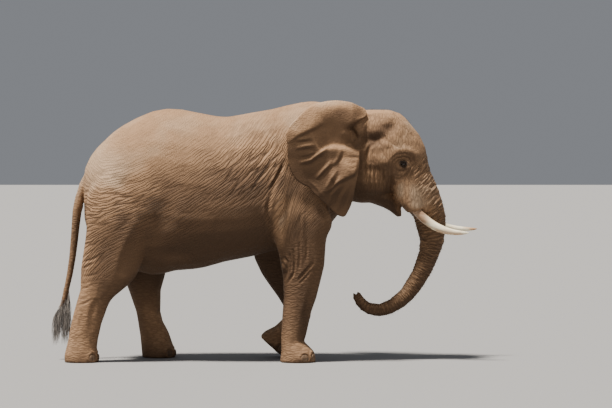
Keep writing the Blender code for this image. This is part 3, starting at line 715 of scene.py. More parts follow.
def limb_lie(points):
    """How much each point belongs to a limb, and its place off the limb's middle line and along it."""
    x, y, z = points.T
    flat = points[:, [0, 2]]
    weight = np.zeros(len(points))
    lie = points.copy()
    for (end, side), line in LEG_LINES.items():
        table = np.array(line)[::-1]
        here = (np.sign(y) == side) & ((x > HIND_TO) == (end == "fore"))
        here &= (np.abs(y) < 0.62) & (x < CHEST_TO)
        top, reach = (1.30, 0.33) if end == "fore" else (0.88, 0.40)
        ahead = x - np.interp(z, table[:, 1], table[:, 0])
        share = eased_step(top + 0.25 - z, 0, 0.3) * (1 - eased_step(np.abs(ahead), reach, reach + 0.12))
        lie[here, 0] = ahead[here]
        lie[here, 1] -= side * LEG_MIDDLE_Y
        weight = np.maximum(weight, share * here)
    off, where, _ = near_line(flat, TRUNK_LINE)
    share = (np.abs(off) < 0.42) * (x > TRUNK_FROM) * eased_step(where, 0.0, 0.18)
    share *= np.where(z > 1.72, eased_step(off, -0.06, 0.10), (np.abs(off) < 0.24) & (np.abs(y) < 0.26))
    trunk = share > 0
    sag = 0.32 * off * (1 - eased_step(where, 0.5, 1.1))
    lie[trunk] = np.stack([off, y, where + sag], axis=-1)[trunk]
    weight = np.maximum(weight, share)
    off, where, _ = near_line(flat, TAIL_LINE)
    share = (1 - eased_step(np.abs(off), 0.07, 0.12)) * (1 - eased_step(np.abs(y), 0.07, 0.12))
    share *= x < -1.98
    tail = share > 0
    lie[tail] = np.stack([off, y, where], axis=-1)[tail]
    weight = np.maximum(weight, share * eased_step(where, 0.1, 0.3))
    return weight, lie


def rut_strength(points):
    """1 where the ruts of the hide run deepest, 0 where it is plain."""
    x, _, z = points.T
    total = np.zeros(len(points))
    for x0, z0, along, up, strength in RUT_PLACES:
        total = np.maximum(total, strength * np.exp(-(((x - x0) / along) ** 2) - ((z - z0) / up) ** 2))
    return total * (1 - on_ear(points))


def relief(points, normals):
    """How far the hide is raised at each point: bones, muscles, folds and the rings of the trunk."""
    x, y, z = points.T
    flat = points[:, [0, 2]]
    sideways = eased_step(np.abs(normals[:, 1]), 0.15, 0.5)
    off_ear = 1.0 - on_ear(points)
    out = folded(flat, HEAD_FOLDS, HEAD_ROLLS) * sideways * off_ear * (x > 0.94) * (np.abs(y) > 0.12)
    out += folded(flat, FLANK_FOLDS, FLANK_ROLLS) * sideways * off_ear * (x < CHEST_TO) * (np.abs(y) > 0.15)
    near_side = y < -0.3
    out += folded(flat, ELBOW_FOLDS) * sideways * near_side * (x > 0)
    out += folded(flat, hock_folds()) * sideways * near_side * (x < -1)

    # the tail is fuller than its solid, and the skin swells round each nail
    out += 0.010 * (x < -2.1) * (np.abs(y) < 0.12) * eased_step(2.05 - z, 0.0, 0.3)
    for foot, _, bearings in FEET:
        for k in range(len(bearings)):
            middle = np.array(middle_of(f"{foot}_nail_{k + 1}")) - (FORWARD, 0, 0)
            near = np.nonzero(np.abs(points - middle).max(axis=1) < 0.12)[0]
            away = np.linalg.norm(points[near] - middle, axis=1)
            out[near] += 0.008 * bell(away - 0.060, 0.018) - 0.004 * bell(away, 0.035)

    # the rings of the trunk lie closer and shallower toward its tip
    weight, lie = limb_lie(points)
    trunk = np.nonzero((x > TRUNK_FROM) & (weight > 0))[0]
    fore, aside, down = lie[trunk].T
    rows = down + 0.010 * clouds(points[trunk], 0.09, 5)
    gap = 0.038 - 0.010 * eased_step(down, 0.6, 2.4)
    rings = cell_edges(rows / gap, np.arctan2(aside, fore + 1e-9) * 0.8, 23)
    depth = 0.0065 - 0.003 * eased_step(down, 0.8, 2.4)
    out[trunk] -= depth * (1 - eased_step(rings, 0.0, 0.5)) * weight[trunk]
    return out


def thinned(obj, faces):
    """Fewer faces where the form is plain."""
    thin = obj.modifiers.new("thin out", "DECIMATE")
    obj.data.calc_loop_triangles()
    thin.ratio = faces / len(obj.data.loop_triangles)
    return applied(obj)


def eye_middle(side):
    name = "eye_right" if side < 0 else "eye_left"
    middle = middle_of(name)
    return Vector((middle.x - FORWARD, middle.y, middle.z))


def refined(obj, middle, reaches):
    """Halve the hide's edges within each reach of a place in turn."""
    bm = bmesh.new()
    bm.from_mesh(obj.data)
    for reach in reaches:
        close = {v for v in bm.verts if (v.co - middle).length < reach}
        cut = [e for e in bm.edges if e.verts[0] in close and e.verts[1] in close]
        bmesh.ops.subdivide_edges(bm, edges=cut, cuts=1, smooth=0.6)
        bmesh.ops.triangulate(bm, faces=[f for f in bm.faces if len(f.verts) > 3])
    bm.to_mesh(obj.data)
    bm.free()


LID_REACH = 0.034  # half the length of the opening
LID_GAPE = (0.0200, 0.0165)  # from the middle of the opening to its upper and to its lower edge
LID_TILT = math.radians(8)  # the rear corner lies lower
LID_THICKNESS = 0.005
# The hide's edges are halved within each of these reaches in turn
LID_REFINED = (0.13, 0.075, 0.05)
NOSTRIL_REFINED = (0.085, 0.070)


def lid_height(a, b, skin):
    """How far out the hide stands round the eye, from the eyeball's middle."""
    along = a * math.cos(LID_TILT) + b * math.sin(LID_TILT)
    up = b * math.cos(LID_TILT) - a * math.sin(LID_TILT)
    share = np.clip(1 - (along / LID_REACH) ** 2, 0, 1)
    gape = np.where(up > 0, *LID_GAPE) * share**0.7
    beyond = np.maximum(np.abs(along) - LID_REACH, 0)
    margin = np.hypot(np.abs(up) - gape, beyond) * np.where((np.abs(up) < gape) & (beyond == 0), -1, 1)
    radius = np.hypot(a, b)
    ball = np.sqrt(np.maximum(EYE_RADIUS**2 - radius**2, 0))
    lid_ball = np.sqrt(np.maximum((EYE_RADIUS + LID_THICKNESS) ** 2 - radius**2, 0))
    lid = np.maximum(lid_ball, 0.6 * skin + 0.002)
    edge = 0.0025 * bell(margin - 0.004, 0.003)
    crease = -0.004 * bell(margin - 0.013, 0.0035) - 0.003 * bell(margin - 0.024, 0.004)
    outside = lid + edge + crease * np.where(up > 0, 1.0, 0.8)
    blend = eased_step(margin, 0.02, 0.05)
    outside = outside * (1 - blend) + skin * blend
    inside = ball - 0.006
    return np.where(margin < 0, inside, inside + (outside - inside) * eased_step(margin, 0.0, 0.0025))


def open_lids(obj):
    """Make the hide finer round each eye, hug the eyeball with two lids and hollow the opening."""
    for _, side in SIDES:
        refined(obj, eye_middle(side), LID_REFINED)
    points = read_vectors(obj.data, "co")
    for _, side in SIDES:
        middle = np.array(eye_middle(side))
        local = points - middle
        near = np.nonzero(np.hypot(local[:, 0], local[:, 2]) < 0.1)[0]
        near = near[side * local[near, 1] > -0.05]
        a, b, out = local[near, 0], local[near, 2], side * local[near, 1]
        points[near, 1] = middle[1] + side * lid_height(a, b, out)
    set_points(obj.data, points)


def open_trunk(obj):
    """Two nostrils in the end of the trunk and a finger of flesh before and behind them."""
    end = Vector((TRUNK_LINE[-1][0], 0, TRUNK_LINE[-1][1]))
    run = (end - Vector((TRUNK_LINE[-2][0], 0, TRUNK_LINE[-2][1]))).normalized()
    refined(obj, end, NOSTRIL_REFINED)
    points = read_vectors(obj.data, "co")
    local = points - np.array(end)
    near = np.nonzero(np.linalg.norm(local, axis=1) < 0.1)[0]
    ahead = local[near] @ np.array(run)
    across = local[near] @ np.array((run.z, 0, -run.x))
    y = local[near, 1]
    last = ahead.max()
    face = eased_step(ahead, last - 0.040, last - 0.012)
    fingers = 0.026 * np.exp(-(((np.abs(across) - 0.026) / 0.014) ** 2) - (y / 0.018) ** 2)
    fingers *= np.where(across > 0, 0.7, 1.0)
    nostrils = -0.034 * np.exp(-((across / 0.013) ** 2) - ((np.abs(y) - 0.019) / 0.011) ** 2)
    points[near] += ((fingers + nostrils) * face)[:, None] * np.array(run)
    set_points(obj.data, points)


# Where the hide is dustier than elsewhere, or barer, and where painted light and painted shade are laid on
# it the same way: x, z, reach along, reach up, amount
DUST_AND_LIGHT_PLACES = (
    # the crown, the hollow of the temple, the cheekbone and the cheek
    (1.50, 2.48, 0.24, 0.14, 0.30),
    (1.33, 2.34, 0.18, 0.14, 0.20),
    (1.32, 2.10, 0.14, 0.12, 0.40),
    (1.29, 2.59, 0.14, 0.07, -0.35),
    (1.42, 2.73, 0.10, 0.08, -0.25),
    (1.31, 2.51, 0.10, 0.06, -0.80),
    (1.45, 2.68, 0.10, 0.06, -0.60),
    (1.55, 2.52, 0.07, 0.05, 0.45),
    (1.64, 2.61, 0.06, 0.07, 0.12),
    (1.71, 2.75, 0.08, 0.10, 0.40),
    (1.40, 2.33, 0.09, 0.05, 0.35),
    (1.58, 2.33, 0.09, 0.05, 0.30),
    (1.30, 1.85, 0.35, 0.12, -0.45),
    (1.49, 1.79, 0.06, 0.10, -0.60),
    # the trunk and the sheath of the tusk
    (1.74, 1.92, 0.16, 0.20, 0.60),
    (1.59, 1.96, 0.05, 0.12, 0.70),
    (1.86, 1.88, 0.16, 0.36, 0.50),
    (1.80, 2.36, 0.06, 0.10, 0.35),
    (1.55, 1.97, 0.05, 0.12, 0.75),
    (1.73, 1.80, 0.11, 0.09, 0.50),
    (1.58, 1.89, 0.05, 0.07, 0.35),
    (1.60, 2.07, 0.05, 0.10, 0.35),
    # the ear
    (1.08, 2.40, 0.07, 0.30, -0.35),
    (0.62, 2.42, 0.30, 0.20, -0.15),
    (0.90, 2.97, 0.30, 0.07, 0.35),
    (0.56, 2.09, 0.20, 0.15, -0.50),
    (0.87, 2.24, 0.09, 0.10, -0.60),
    (0.85, 1.90, 0.20, 0.25, -0.20),
    (0.90, 2.88, 0.13, 0.06, -0.65),
    (1.12, 2.68, 0.05, 0.06, 0.35),
    (0.35, 2.72, 0.08, 0.10, 0.40),
    # the shoulder and the foreleg
    (0.30, 1.25, 0.35, 0.80, -0.30),
    (0.27, 1.83, 0.13, 0.14, 0.60),
    (0.20, 1.64, 0.12, 0.20, 0.80),
    (0.20, 1.38, 0.07, 0.20, 0.75),
    (0.66, 1.72, 0.07, 0.12, -0.40),
    (0.47, 0.52, 0.07, 0.45, -0.45),
    (0.21, 2.10, 0.05, 0.08, -0.45),
    # the flank and the belly
    (-0.55, 1.25, 0.90, 0.28, -0.30),
    (-0.40, 1.97, 0.62, 0.24, -0.55),
    (-0.12, 2.08, 0.20, 0.26, -0.28),
    (-0.82, 1.87, 0.12, 0.08, -0.30),
    (-0.98, 1.20, 0.22, 0.06, 0.30),
    (-0.97, 1.62, 0.10, 0.16, 0.20),
    # the hip, the rump and the hind leg
    (-1.85, 2.15, 0.50, 0.60, 0.60),
    (-1.98, 0.70, 0.35, 0.50, 0.45),
    (-1.58, 1.56, 0.15, 0.20, -0.50),
    (-1.76, 1.25, 0.14, 0.22, -0.35),
    (-1.15, 2.42, 0.20, 0.14, 0.35),
    (-1.80, 2.28, 0.20, 0.16, 0.30),
    (-1.10, 2.32, 0.15, 0.12, 0.25),
    (-1.65, 2.13, 0.12, 0.12, 0.35),
    (-1.87, 0.98, 0.17, 0.22, -0.35),
    (-1.98, 1.80, 0.07, 0.16, -0.30),
)


def painted_light_and_dust(points, normals):
    """1 where the hide is dustiest, as on the back, 0 where it isn't, and less where the hide is bare.
    Facing up it is lighter with dustiness and painted light; facing down and on the inner faces of the legs
    it is darker with painted shade.
    """
    x, y, z = points.T
    up = normals[:, 2]
    legs = eased_step(z, 0.5, 1.1) * (1 - eased_step(z, 1.2, 1.5)) * (x < CHEST_TO)
    inner = eased_step(-np.sign(y) * normals[:, 1], 0.0, 0.8) * legs
    # lighter facing up, with dustiness and painted light; darker facing down and on the inner faces of the
    # legs, with painted shade
    total = eased_step(up, -0.55, 0.75) - 0.35 * eased_step(-up, 0.1, 0.7) - 0.9 * inner
    # patches of dustiness and bare hide, and patches of painted light and painted shade
    for x0, z0, along, height, amount in DUST_AND_LIGHT_PLACES:
        total += amount * np.exp(-(((x - x0) / along) ** 2) - ((z - z0) / height) ** 2)
    return total


def write_lie(obj):
    """Write on the hide where its wrinkles run and how deep they are."""
    mesh = obj.data
    points = read_vectors(mesh, "co")
    weight, lie = limb_lie(points)
    across, along = flank_lie(points)
    write_numbers(mesh, "flank_lie", np.stack([across, along, np.zeros_like(across)], axis=-1))
    write_numbers(mesh, "limb_lie", lie)
    write_numbers(mesh, "limb", weight)
    write_numbers(mesh, "trunk", weight * (points[:, 0] > TRUNK_FROM))
    write_numbers(mesh, "ruts", rut_strength(points))
    write_numbers(mesh, "ear", on_ear(points))
    write_numbers(mesh, "head", eased_step(points[:, 0], 1.06, 1.20))
    normals = read_vectors(mesh, "normal")
    # dustiness together with painted light and painted shade
    write_numbers(mesh, "dust_and_light", painted_light_and_dust(points, normals))
    write_numbers(mesh, "sides", 0.2 + 0.8 * eased_step(np.abs(normals[:, 1]), 0.3, 0.75))
    # damp dark skin round each eye, stretched into a tall oval of painted shade
    around = np.hypot((points[:, 0] - EYE_PLACE[0]) * 1.2, (points[:, 2] - EYE_PLACE[1] + 0.006) * 0.85)
    write_numbers(mesh, "lids", 1 - eased_step(around, 0.022, 0.060))


def make_hide():
    """The whole skin: grown over the flesh, wrinkled, thinned, and opened at the eyes and the trunk."""
    obj = grown_hide()
    mesh = obj.data
    points, normals = read_vectors(mesh, "co"), read_vectors(mesh, "normal")
    set_points(mesh, points + normals * relief(points, normals)[:, None])
    thinned(obj, HIDE_FACES)
    open_lids(obj)
    open_trunk(obj)
    points = read_vectors(obj.data, "co")
    points[:, 2] = np.maximum(points[:, 2], 0.0)
    set_points(obj.data, points)
    write_lie(obj)
    return obj


# Tusks, eyes, nails and tail brush

FAR_TUSK_LONGER = 0.13
# Rows of a tusk: x, y, z and radius in its sheath, then the run beyond it, z and radius
SHEATHED_TUSK = ((1.70, 0.225, 1.87, 0.045), (1.745, 0.23, 1.785, 0.05), (1.80, 0.24, 1.71, 0.05))
BARE_TUSK = (
    (0.07, 1.643, 0.051),
    (0.165, 1.575, 0.049),
    (0.27, 1.525, 0.044),
    (0.375, 1.497, 0.036),
    (0.48, 1.487, 0.025),
    (0.545, 1.486, 0.013),
    (0.575, 1.487, 0.003),
)
TUSK_LENGTH = 0.55  # beyond the sheath, against which a longer one is stretched
TUSK_SPREAD = 0.09  # how far a tusk turns out on its way from the sheath
TUSK_RINGS = 90
TUSK_SIDES = 40


def tusk(name, side, longer):
    """A tusk from inside its sheath to its worn tip."""
    stretch = 1 + longer / TUSK_LENGTH
    rows = list(SHEATHED_TUSK)
    leave_x, leave_y = rows[-1][:2]
    for run, z, radius in BARE_TUSK:
        y = leave_y + TUSK_SPREAD * math.sin(min(1, run / 0.5) * math.pi / 2)
        rise = 0.2 * longer * run / BARE_TUSK[-1][0]
        rows.append((leave_x + run * stretch, y, z + rise, radius))
    rows = eased_line(rows, TUSK_RINGS)
    # a hair thinner than its solid, and set back by half a millimetre
    line = [Vector((x + FORWARD - 0.0005, side * y, z)) for x, y, z, _ in rows]
    made = tube(name, line, rows[:, 3] * 0.995, TUSK_SIDES)
    # stained near the sheath, and worn at the tip and below
    points = read_vectors(made.data, "co")
    forward = (points[:, 0] - FORWARD - 1.84) / (0.53 * stretch)
    under = eased_step(-read_vectors(made.data, "normal")[:, 2], -0.2, 0.8)
    write_numbers(made.data, "root", 1 - eased_step(forward, 0.0, 0.22))
    write_numbers(made.data, "worn", np.maximum(eased_step(forward, 0.72, 1.0), 0.7 * under))
    return made


def eyeball(name):
    bm = bmesh.new()
    bmesh.ops.create_uvsphere(bm, u_segments=48, v_segments=32, radius=EYE_RADIUS * 0.985)
    bmesh.ops.rotate(bm, verts=bm.verts, matrix=Matrix.Rotation(math.pi / 2, 3, "X"))
    bmesh.ops.translate(bm, verts=bm.verts, vec=middle_of(name))
    return from_bmesh(name, bm)


NAIL_SQUARENESS = 2.6  # 2 is an ellipse, and more is nearer to a rectangle
NAIL_RIDGE = 0.0008


def toenail(node, pitch, bearing):
    """A ridged nail: a low plate, broad at its lower edge and rounded above, set into the foot."""
    depth, width, height = NAIL_RADII
    bm = bmesh.new()
    bmesh.ops.create_uvsphere(bm, u_segments=48, v_segments=28, radius=1)
    for v in bm.verts:
        x, y, z = v.co
        # squared off, narrower above, domed, and ridged on its outer face
        square = (abs(y) ** NAIL_SQUARENESS + abs(z) ** NAIL_SQUARENESS) ** (1 / NAIL_SQUARENESS)
        square /= max(math.hypot(y, z), 1e-6)
        y, z = y / max(square, 1e-6), z / max(square, 1e-6)
        narrow = 1 - 0.26 * max(0.0, z)
        ridges = NAIL_RIDGE * math.cos(y * 24) * (1 - abs(z)) * (x > 0)
        dome = math.copysign(abs(x) ** 0.55, x) * (1 - 0.25 * y * y) * (1 - 0.45 * max(0.0, z))
        tall = height * (0.80 if z > 0 else 0.95)
        v.co = (dome * depth * 0.74 + ridges, y * width * 0.96 * narrow, z * tall)
    turn = Matrix.Rotation(math.radians(pitch), 3, "Y") @ Matrix.Rotation(math.radians(bearing), 3, "Z")
    bmesh.ops.rotate(bm, verts=bm.verts, matrix=turn)
    bmesh.ops.translate(bm, verts=bm.verts, vec=middle_of(node))
    return from_bmesh(node, bm)


BRUSH_ROOTS = ((-2.282, 0.84), (-2.306, 0.74), (-2.330, 0.66), (-2.352, 0.61))
BRUSH_PLACES = 60
BRUSH_LOCKS = 560
BRUSH_REAR = CAD_LOW.x - FORWARD + 0.006  # no hair hangs farther back
BRUSH_LOW = 0.166  # nor lower
BRUSH_CROWD = 0.05
LOCK_POINTS = 9
LOCK_SIDES = 5
LOCK_PATCH = 0.003  # how much of the map a face of a lock takes


def tail_brush(name):
    """The stiff hairs of the tail: thin locks that hang from a row at its front and one at its back."""
    rng = random.Random(31)
    bm = bmesh.new()
    map_layer = bm.loops.layers.uv.new("OFBake")
    path = eased_line(BRUSH_ROOTS, BRUSH_PLACES)
    for _ in range(BRUSH_LOCKS):
        # most locks start near the end of the tail, and those spread farthest
        start = 1 - rng.uniform(0.0, 1.0) ** 1.6
        x0, z0 = path[int(start * (BRUSH_PLACES - 1))]
        edge = rng.uniform(-1.0, 1.0)
        reach = (0.02 + 0.11 * abs(edge)) if edge < 0 else 0.02 + 0.12 * edge
        reach *= rng.uniform(0.5, 1.1) * (0.35 + 0.65 * start)
        length = rng.uniform(0.22, 0.46)
        aside = rng.uniform(-0.045, 0.045)
        wave = rng.uniform(-0.010, 0.010)
        phase = rng.uniform(0, 2 * math.pi)
        thick = rng.uniform(0.0012, 0.0036)
        line = []
        radii = []
        for k in range(LOCK_POINTS):
            t = k / (LOCK_POINTS - 1)
            spread = math.copysign(0.010 * abs(edge) ** 0.3 + reach * (1 - (1 - t) ** 1.7), edge)
            x = x0 + spread - 0.015 * t**1.5 + wave * math.sin(5 * t + phase)
            # hairs that would hang too far back crowd together before that
            crowd = x - BRUSH_REAR - BRUSH_CROWD
            x = x if crowd > 0 else BRUSH_REAR + BRUSH_CROWD * math.exp(crowd / BRUSH_CROWD)
            z = max(z0 - length * t**1.1, BRUSH_LOW + 0.012 * (k < LOCK_POINTS - 1))
            line.append(Vector((x + FORWARD, aside * t**0.8 + 0.3 * wave, z)))
            radii.append(thick * (1 - t) ** 0.6 + 0.0004)
        rings = ring_strip(bm, rod_loops(line, radii, LOCK_SIDES, Vector((0.3, 0.9, 0.1))))
        cap(bm, rings[0])
        cap(bm, rings[-1])
        corner = (start * 0.9 + 0.02, (phase / (2 * math.pi)) * 0.45 + 0.02 + 0.5 * (edge > 0))
        for ring in rings:
            for v in ring:
                for n, loop in enumerate(v.link_loops):
                    beside, above = LOCK_PATCH * (n % 2), LOCK_PATCH * (n // 2 % 2)
                    loop[map_layer].uv = (corner[0] + beside, corner[1] + above)
    # the hub of each cap takes its place on the map from its neighbours
    for face in bm.faces:
        place = max((loop[map_layer].uv.copy() for loop in face.loops), key=lambda uv: uv.x + uv.y)
        for loop in face.loops:
            if loop[map_layer].uv.length < 1e-6:
                loop[map_layer].uv = place
    bmesh.ops.recalc_face_normals(bm, faces=bm.faces)
    return from_bmesh(name, bm)


# Bristles and lashes

BODY_AXIS_Z = 1.9
MAP_ALONG = 0.19  # how much of the map a metre of the body takes
MAP_ROUND = 0.155  # how much of it a radian round the body takes
MAP_HAIR = 0.03  # how much of it a metre of hair takes


def hair_tree(name):
    """A tree that grows tapered hairs on a mesh: upright, leaning to a side, each a little different."""
    tree = bpy.data.node_groups.new(name, "GeometryNodeTree")
    sockets = tree.interface
    sockets.new_socket("Ground", in_out="INPUT", socket_type="NodeSocketGeometry")
    for label, kind, value in (
        ("Hairs to the square metre", "NodeSocketFloat", 300.0),
        ("Length", "NodeSocketFloat", 0.04),
        ("Thickness", "NodeSocketFloat", 0.0008),
        ("Lie", "NodeSocketVector", (0.0, 0.0, -1.0)),
        ("Lean", "NodeSocketFloat", 0.4),
        ("Seed", "NodeSocketInt", 1),
        ("Finish", "NodeSocketMaterial", None),
    ):
        sockets.new_socket(label, in_out="INPUT", socket_type=kind).default_value = value
    sockets.new_socket("Hairs", in_out="OUTPUT", socket_type="NodeSocketGeometry")

    def node(kind, settings, inputs):
        made = tree.nodes.new(kind)
        for key, value in settings.items():
            setattr(made, key, value)
        for key, value in inputs.items():
            socket = made.inputs[key]
            if isinstance(value, bpy.types.NodeSocket):
                tree.links.new(value, socket)
            else:
                socket.default_value = value
        return made.outputs

    any_vector = {"data_type": "FLOAT_VECTOR"}
    given = tree.nodes.new("NodeGroupInput").outputs
    spread = {"Mesh": given["Ground"], "Density": given["Hairs to the square metre"], "Seed": given["Seed"]}
    roots = node("GeometryNodeDistributePointsOnFaces", {}, spread)
    here = node("GeometryNodeInputPosition", {}, {})["Position"]
    keep = {"Geometry": roots["Points"], "Name": "root place", "Value": here}
    marked = node("GeometryNodeStoreNamedAttribute", {"data_type": "FLOAT_VECTOR", "domain": "POINT"}, keep)
    shape = {"Vertices": 4, "Side Segments": 3, "Radius Top": 0.0001, "Radius Bottom": given["Thickness"]}
    hair = node("GeometryNodeMeshCone", {"fill_type": "NGON"}, {**shape, "Depth": given["Length"]})
    lean = {"Rotation": roots["Rotation"], "Factor": given["Lean"], "Vector": given["Lie"]}
    turned = node("FunctionNodeAlignRotationToVector", {"axis": "Z"}, lean)
    stray = {0: (-0.35, -0.35, -3.1), 1: (0.35, 0.35, 3.1), "Seed": given["Seed"]}
    wild = node("FunctionNodeRandomValue", any_vector, stray)
    wild = node("FunctionNodeEulerToRotation", {}, {"Euler": wild["Value"]})
    both = {"Rotation": turned["Rotation"], "Rotate By": wild["Rotation"]}
    turned = node("FunctionNodeRotateRotation", {"rotation_space": "LOCAL"}, both)
    size = node("FunctionNodeRandomValue", any_vector, {0: (0.8, 0.8, 0.35), 1: (1.1, 1.1, 1.0)})
    stand = {"Points": marked["Geometry"], "Instance": hair["Mesh"], "Rotation": turned["Rotation"]}
    stood = node("GeometryNodeInstanceOnPoints", {}, {**stand, "Scale": size["Value"]})
    real = node("GeometryNodeRealizeInstances", {}, {"Geometry": stood["Instances"]})

    # each hair is a small patch at its root's place on the rolled-out hide
    root = node("GeometryNodeInputNamedAttribute", {"data_type": "FLOAT_VECTOR"}, {"Name": "root place"})
    x, y, z = node("ShaderNodeSeparateXYZ", {}, {"Vector": root["Attribute"]})
    level = node("ShaderNodeMath", {"operation": "SUBTRACT"}, {0: z, 1: BODY_AXIS_Z})[0]
    round_it = node("ShaderNodeMath", {"operation": "ARCTAN2"}, {0: y, 1: level})[0]
    u = node("ShaderNodeMath", {"operation": "MULTIPLY_ADD"}, {0: x, 1: MAP_ALONG, 2: 0.5})[0]
    v = node("ShaderNodeMath", {"operation": "MULTIPLY_ADD"}, {0: round_it, 1: MAP_ROUND, 2: 0.5})[0]
    off = node("ShaderNodeVectorMath", {"operation": "SUBTRACT"}, {0: here, 1: root["Attribute"]})[0]
    dx, _, dz = node("ShaderNodeSeparateXYZ", {}, {"Vector": off})
    u = node("ShaderNodeMath", {"operation": "MULTIPLY_ADD"}, {0: dx, 1: MAP_HAIR, 2: u})[0]
    v = node("ShaderNodeMath", {"operation": "MULTIPLY_ADD"}, {0: dz, 1: MAP_HAIR, 2: v})[0]
    place = node("ShaderNodeCombineXYZ", {}, {"X": u, "Y": v})["Vector"]
    mapped = {"Geometry": real["Geometry"], "Name": "OFBake", "Value": place}
    laid = node("GeometryNodeStoreNamedAttribute", {"data_type": "FLOAT2", "domain": "CORNER"}, mapped)
    bare = node("GeometryNodeRemoveAttribute", {}, {"Geometry": laid["Geometry"], "Name": "root place"})
    finished = {"Geometry": bare["Geometry"], "Material": given["Finish"]}
    dressed = node("GeometryNodeSetMaterial", {}, finished)
    tree.links.new(dressed["Geometry"], tree.nodes.new("NodeGroupOutput").inputs["Hairs"])
    return tree


def hide_patch(hide, chosen):
    """The faces of the hide whose middles are chosen, as a mesh of their own."""
    bm = bmesh.new()
    bm.from_mesh(hide.data)
    middles = np.array([f.calc_center_median() for f in bm.faces]) - (FORWARD, 0, 0)
    wanted = chosen(*middles.T)
    bmesh.ops.delete(bm, geom=[f for f, keep in zip(bm.faces, wanted) if not keep], context="FACES")
    return from_bmesh("ground", bm)


def hairs(name, tree, ground, finish, sizes):
    """Grow hairs on a patch and leave them as one plain mesh."""
    grow = ground.modifiers.new("hairs", "NODES")
    grow.node_group = tree
    sockets = {item.name: item.identifier for item in tree.interface.items_tree if item.in_out == "INPUT"}
    for label, value in {**sizes, "Finish": finish.material}.items():
        grow[sockets[label]] = value
    applied(ground)
    ground.name = name
    ground.data.name = name
    ground.data.shade_smooth()
    return ground


def sparse_ground(x, y, z):
    """Chin, lips, the inner and outer edge of the trunk, the crown and the opening of the ear."""
    off, where, _ = near_line(np.stack([x, z], axis=-1), TRUNK_LINE)
    trunk = (where > 0.5) & (np.abs(off) > 0.05) & (np.abs(off) < 0.2) & (np.abs(y) < 0.10)
    chin = (x > 1.36) & (x < 1.62) & (z < 1.88) & (z > 1.6) & (np.abs(y) < 0.16)
    crown = (x > 1.2) & (x < 1.72) & (z > 2.62) & (np.abs(y) < 0.22)
    opening = (x > 1.08) & (x < 1.18) & (z > 2.42) & (z < 2.62)
    return trunk | chin | crown | opening


def upper_lid(x, y, z):
    """The edge of the upper lids, where the lashes grow."""
    a, b = x - EYE_PLACE[0], z - EYE_PLACE[1]
    margin = np.hypot(a / LID_REACH, b / 0.024)
    return (b > 0.004) & (margin > 0.92) & (margin < 1.25) & (np.abs(y) > 0.15)


# Finishes


class Value:
    """A number that changes over a surface. Sums on it add Math nodes."""

    def __init__(self, finish, socket):
        self.finish = finish
        self.socket = socket

    def sum(self, operation, *terms):
        return self.finish.node("ShaderNodeMath", {"operation": operation}, dict(enumerate(terms)))

    def __add__(self, other):
        return self.sum("ADD", self, other)

    def __sub__(self, other):
        return self.sum("SUBTRACT", self, other)

    def __rsub__(self, other):
        return self.sum("SUBTRACT", other, self)

    def __mul__(self, other):
        return self.sum("MULTIPLY", self, other)

    __radd__ = __add__
    __rmul__ = __mul__


class Finish:
    """A material that is built up node by node round one Principled shader."""

    def __init__(self, name, roughness, gloss=0.5):
        self.material = bpy.data.materials.new(name)
        self.material.use_nodes = True
        self.tree = self.material.node_tree
        self.shader = self.tree.nodes["Principled BSDF"]
        self.shader.inputs["Roughness"].default_value = roughness
        self.shader.inputs["Specular IOR Level"].default_value = gloss

    def node(self, kind, settings, inputs, output=0):
        """One node: its settings first, then the values or links of its sockets."""
        made = self.tree.nodes.new(kind)
        for key, value in settings.items():
            setattr(made, key, value)
        for key, value in inputs.items():
            self.feed(made.inputs[key], value)
        return Value(self, made.outputs[output])

    def feed(self, socket, value):
        if isinstance(value, Value):
            self.tree.links.new(value.socket, socket)
        elif isinstance(value, tuple) and len(value) == 3 and socket.type == "RGBA":
            socket.default_value = (*value, 1)
        else:
            socket.default_value = value

    def set(self, name, value):
        self.feed(self.shader.inputs[name], value)

    def place(self):
        return self.node("ShaderNodeTexCoord", {}, {}, "Object")

    def written(self, name, output="Fac"):
        return self.node("ShaderNodeAttribute", {"attribute_name": name}, {}, output)

    def scaled(self, place, x, y, z):
        inputs = {"Vector": place, "Scale": (x, y, z)}
        return self.node("ShaderNodeMapping", {"vector_type": "POINT"}, inputs)

    def noise(self, place, scale, detail):
        inputs = {"Vector": place, "Scale": scale, "Detail": detail, "Roughness": 0.55}
        return self.node("ShaderNodeTexNoise", {}, inputs)

    def cells(self, place, scale, dimensions="3D"):
        settings = {"feature": "DISTANCE_TO_EDGE", "voronoi_dimensions": dimensions}
        return self.node("ShaderNodeTexVoronoi", settings, {"Vector": place, "Scale": scale}, "Distance")

    def eased(self, value, low, high):
        inputs = {"Value": value, "From Min": low, "From Max": high}
        return self.node("ShaderNodeMapRange", {"interpolation_type": "SMOOTHSTEP"}, inputs)

    def shifted(self, place, amount, by):
        """A place moved by a soft noise."""
        cloud = self.node("ShaderNodeTexNoise", {}, {"Vector": by, "Scale": 7.0, "Detail": 2.0}, "Color")
        halves = {0: cloud, 1: (0.5, 0.5, 0.5)}
        centred = self.node("ShaderNodeVectorMath", {"operation": "SUBTRACT"}, halves)
        moved = self.node("ShaderNodeVectorMath", {"operation": "SCALE"}, {0: centred, "Scale": amount})
        return self.node("ShaderNodeVectorMath", {"operation": "ADD"}, {0: place, 1: moved})

    def mixed(self, share, first, second):
        """A colour between two. On the node 0 is the share, and 6 and 7 are the colours."""
        return self.node("ShaderNodeMix", {"data_type": "RGBA"}, {0: share, 6: first, 7: second}, 2)

    def bumped(self, height):
        inputs = {"Height": height, "Distance": 1.0, "Strength": 1.0}
        self.set("Normal", self.node("ShaderNodeBump", {}, inputs))

    def on(self, obj):
        obj.data.materials.clear()
        obj.data.materials.append(self.material)
        obj.data.shade_smooth()


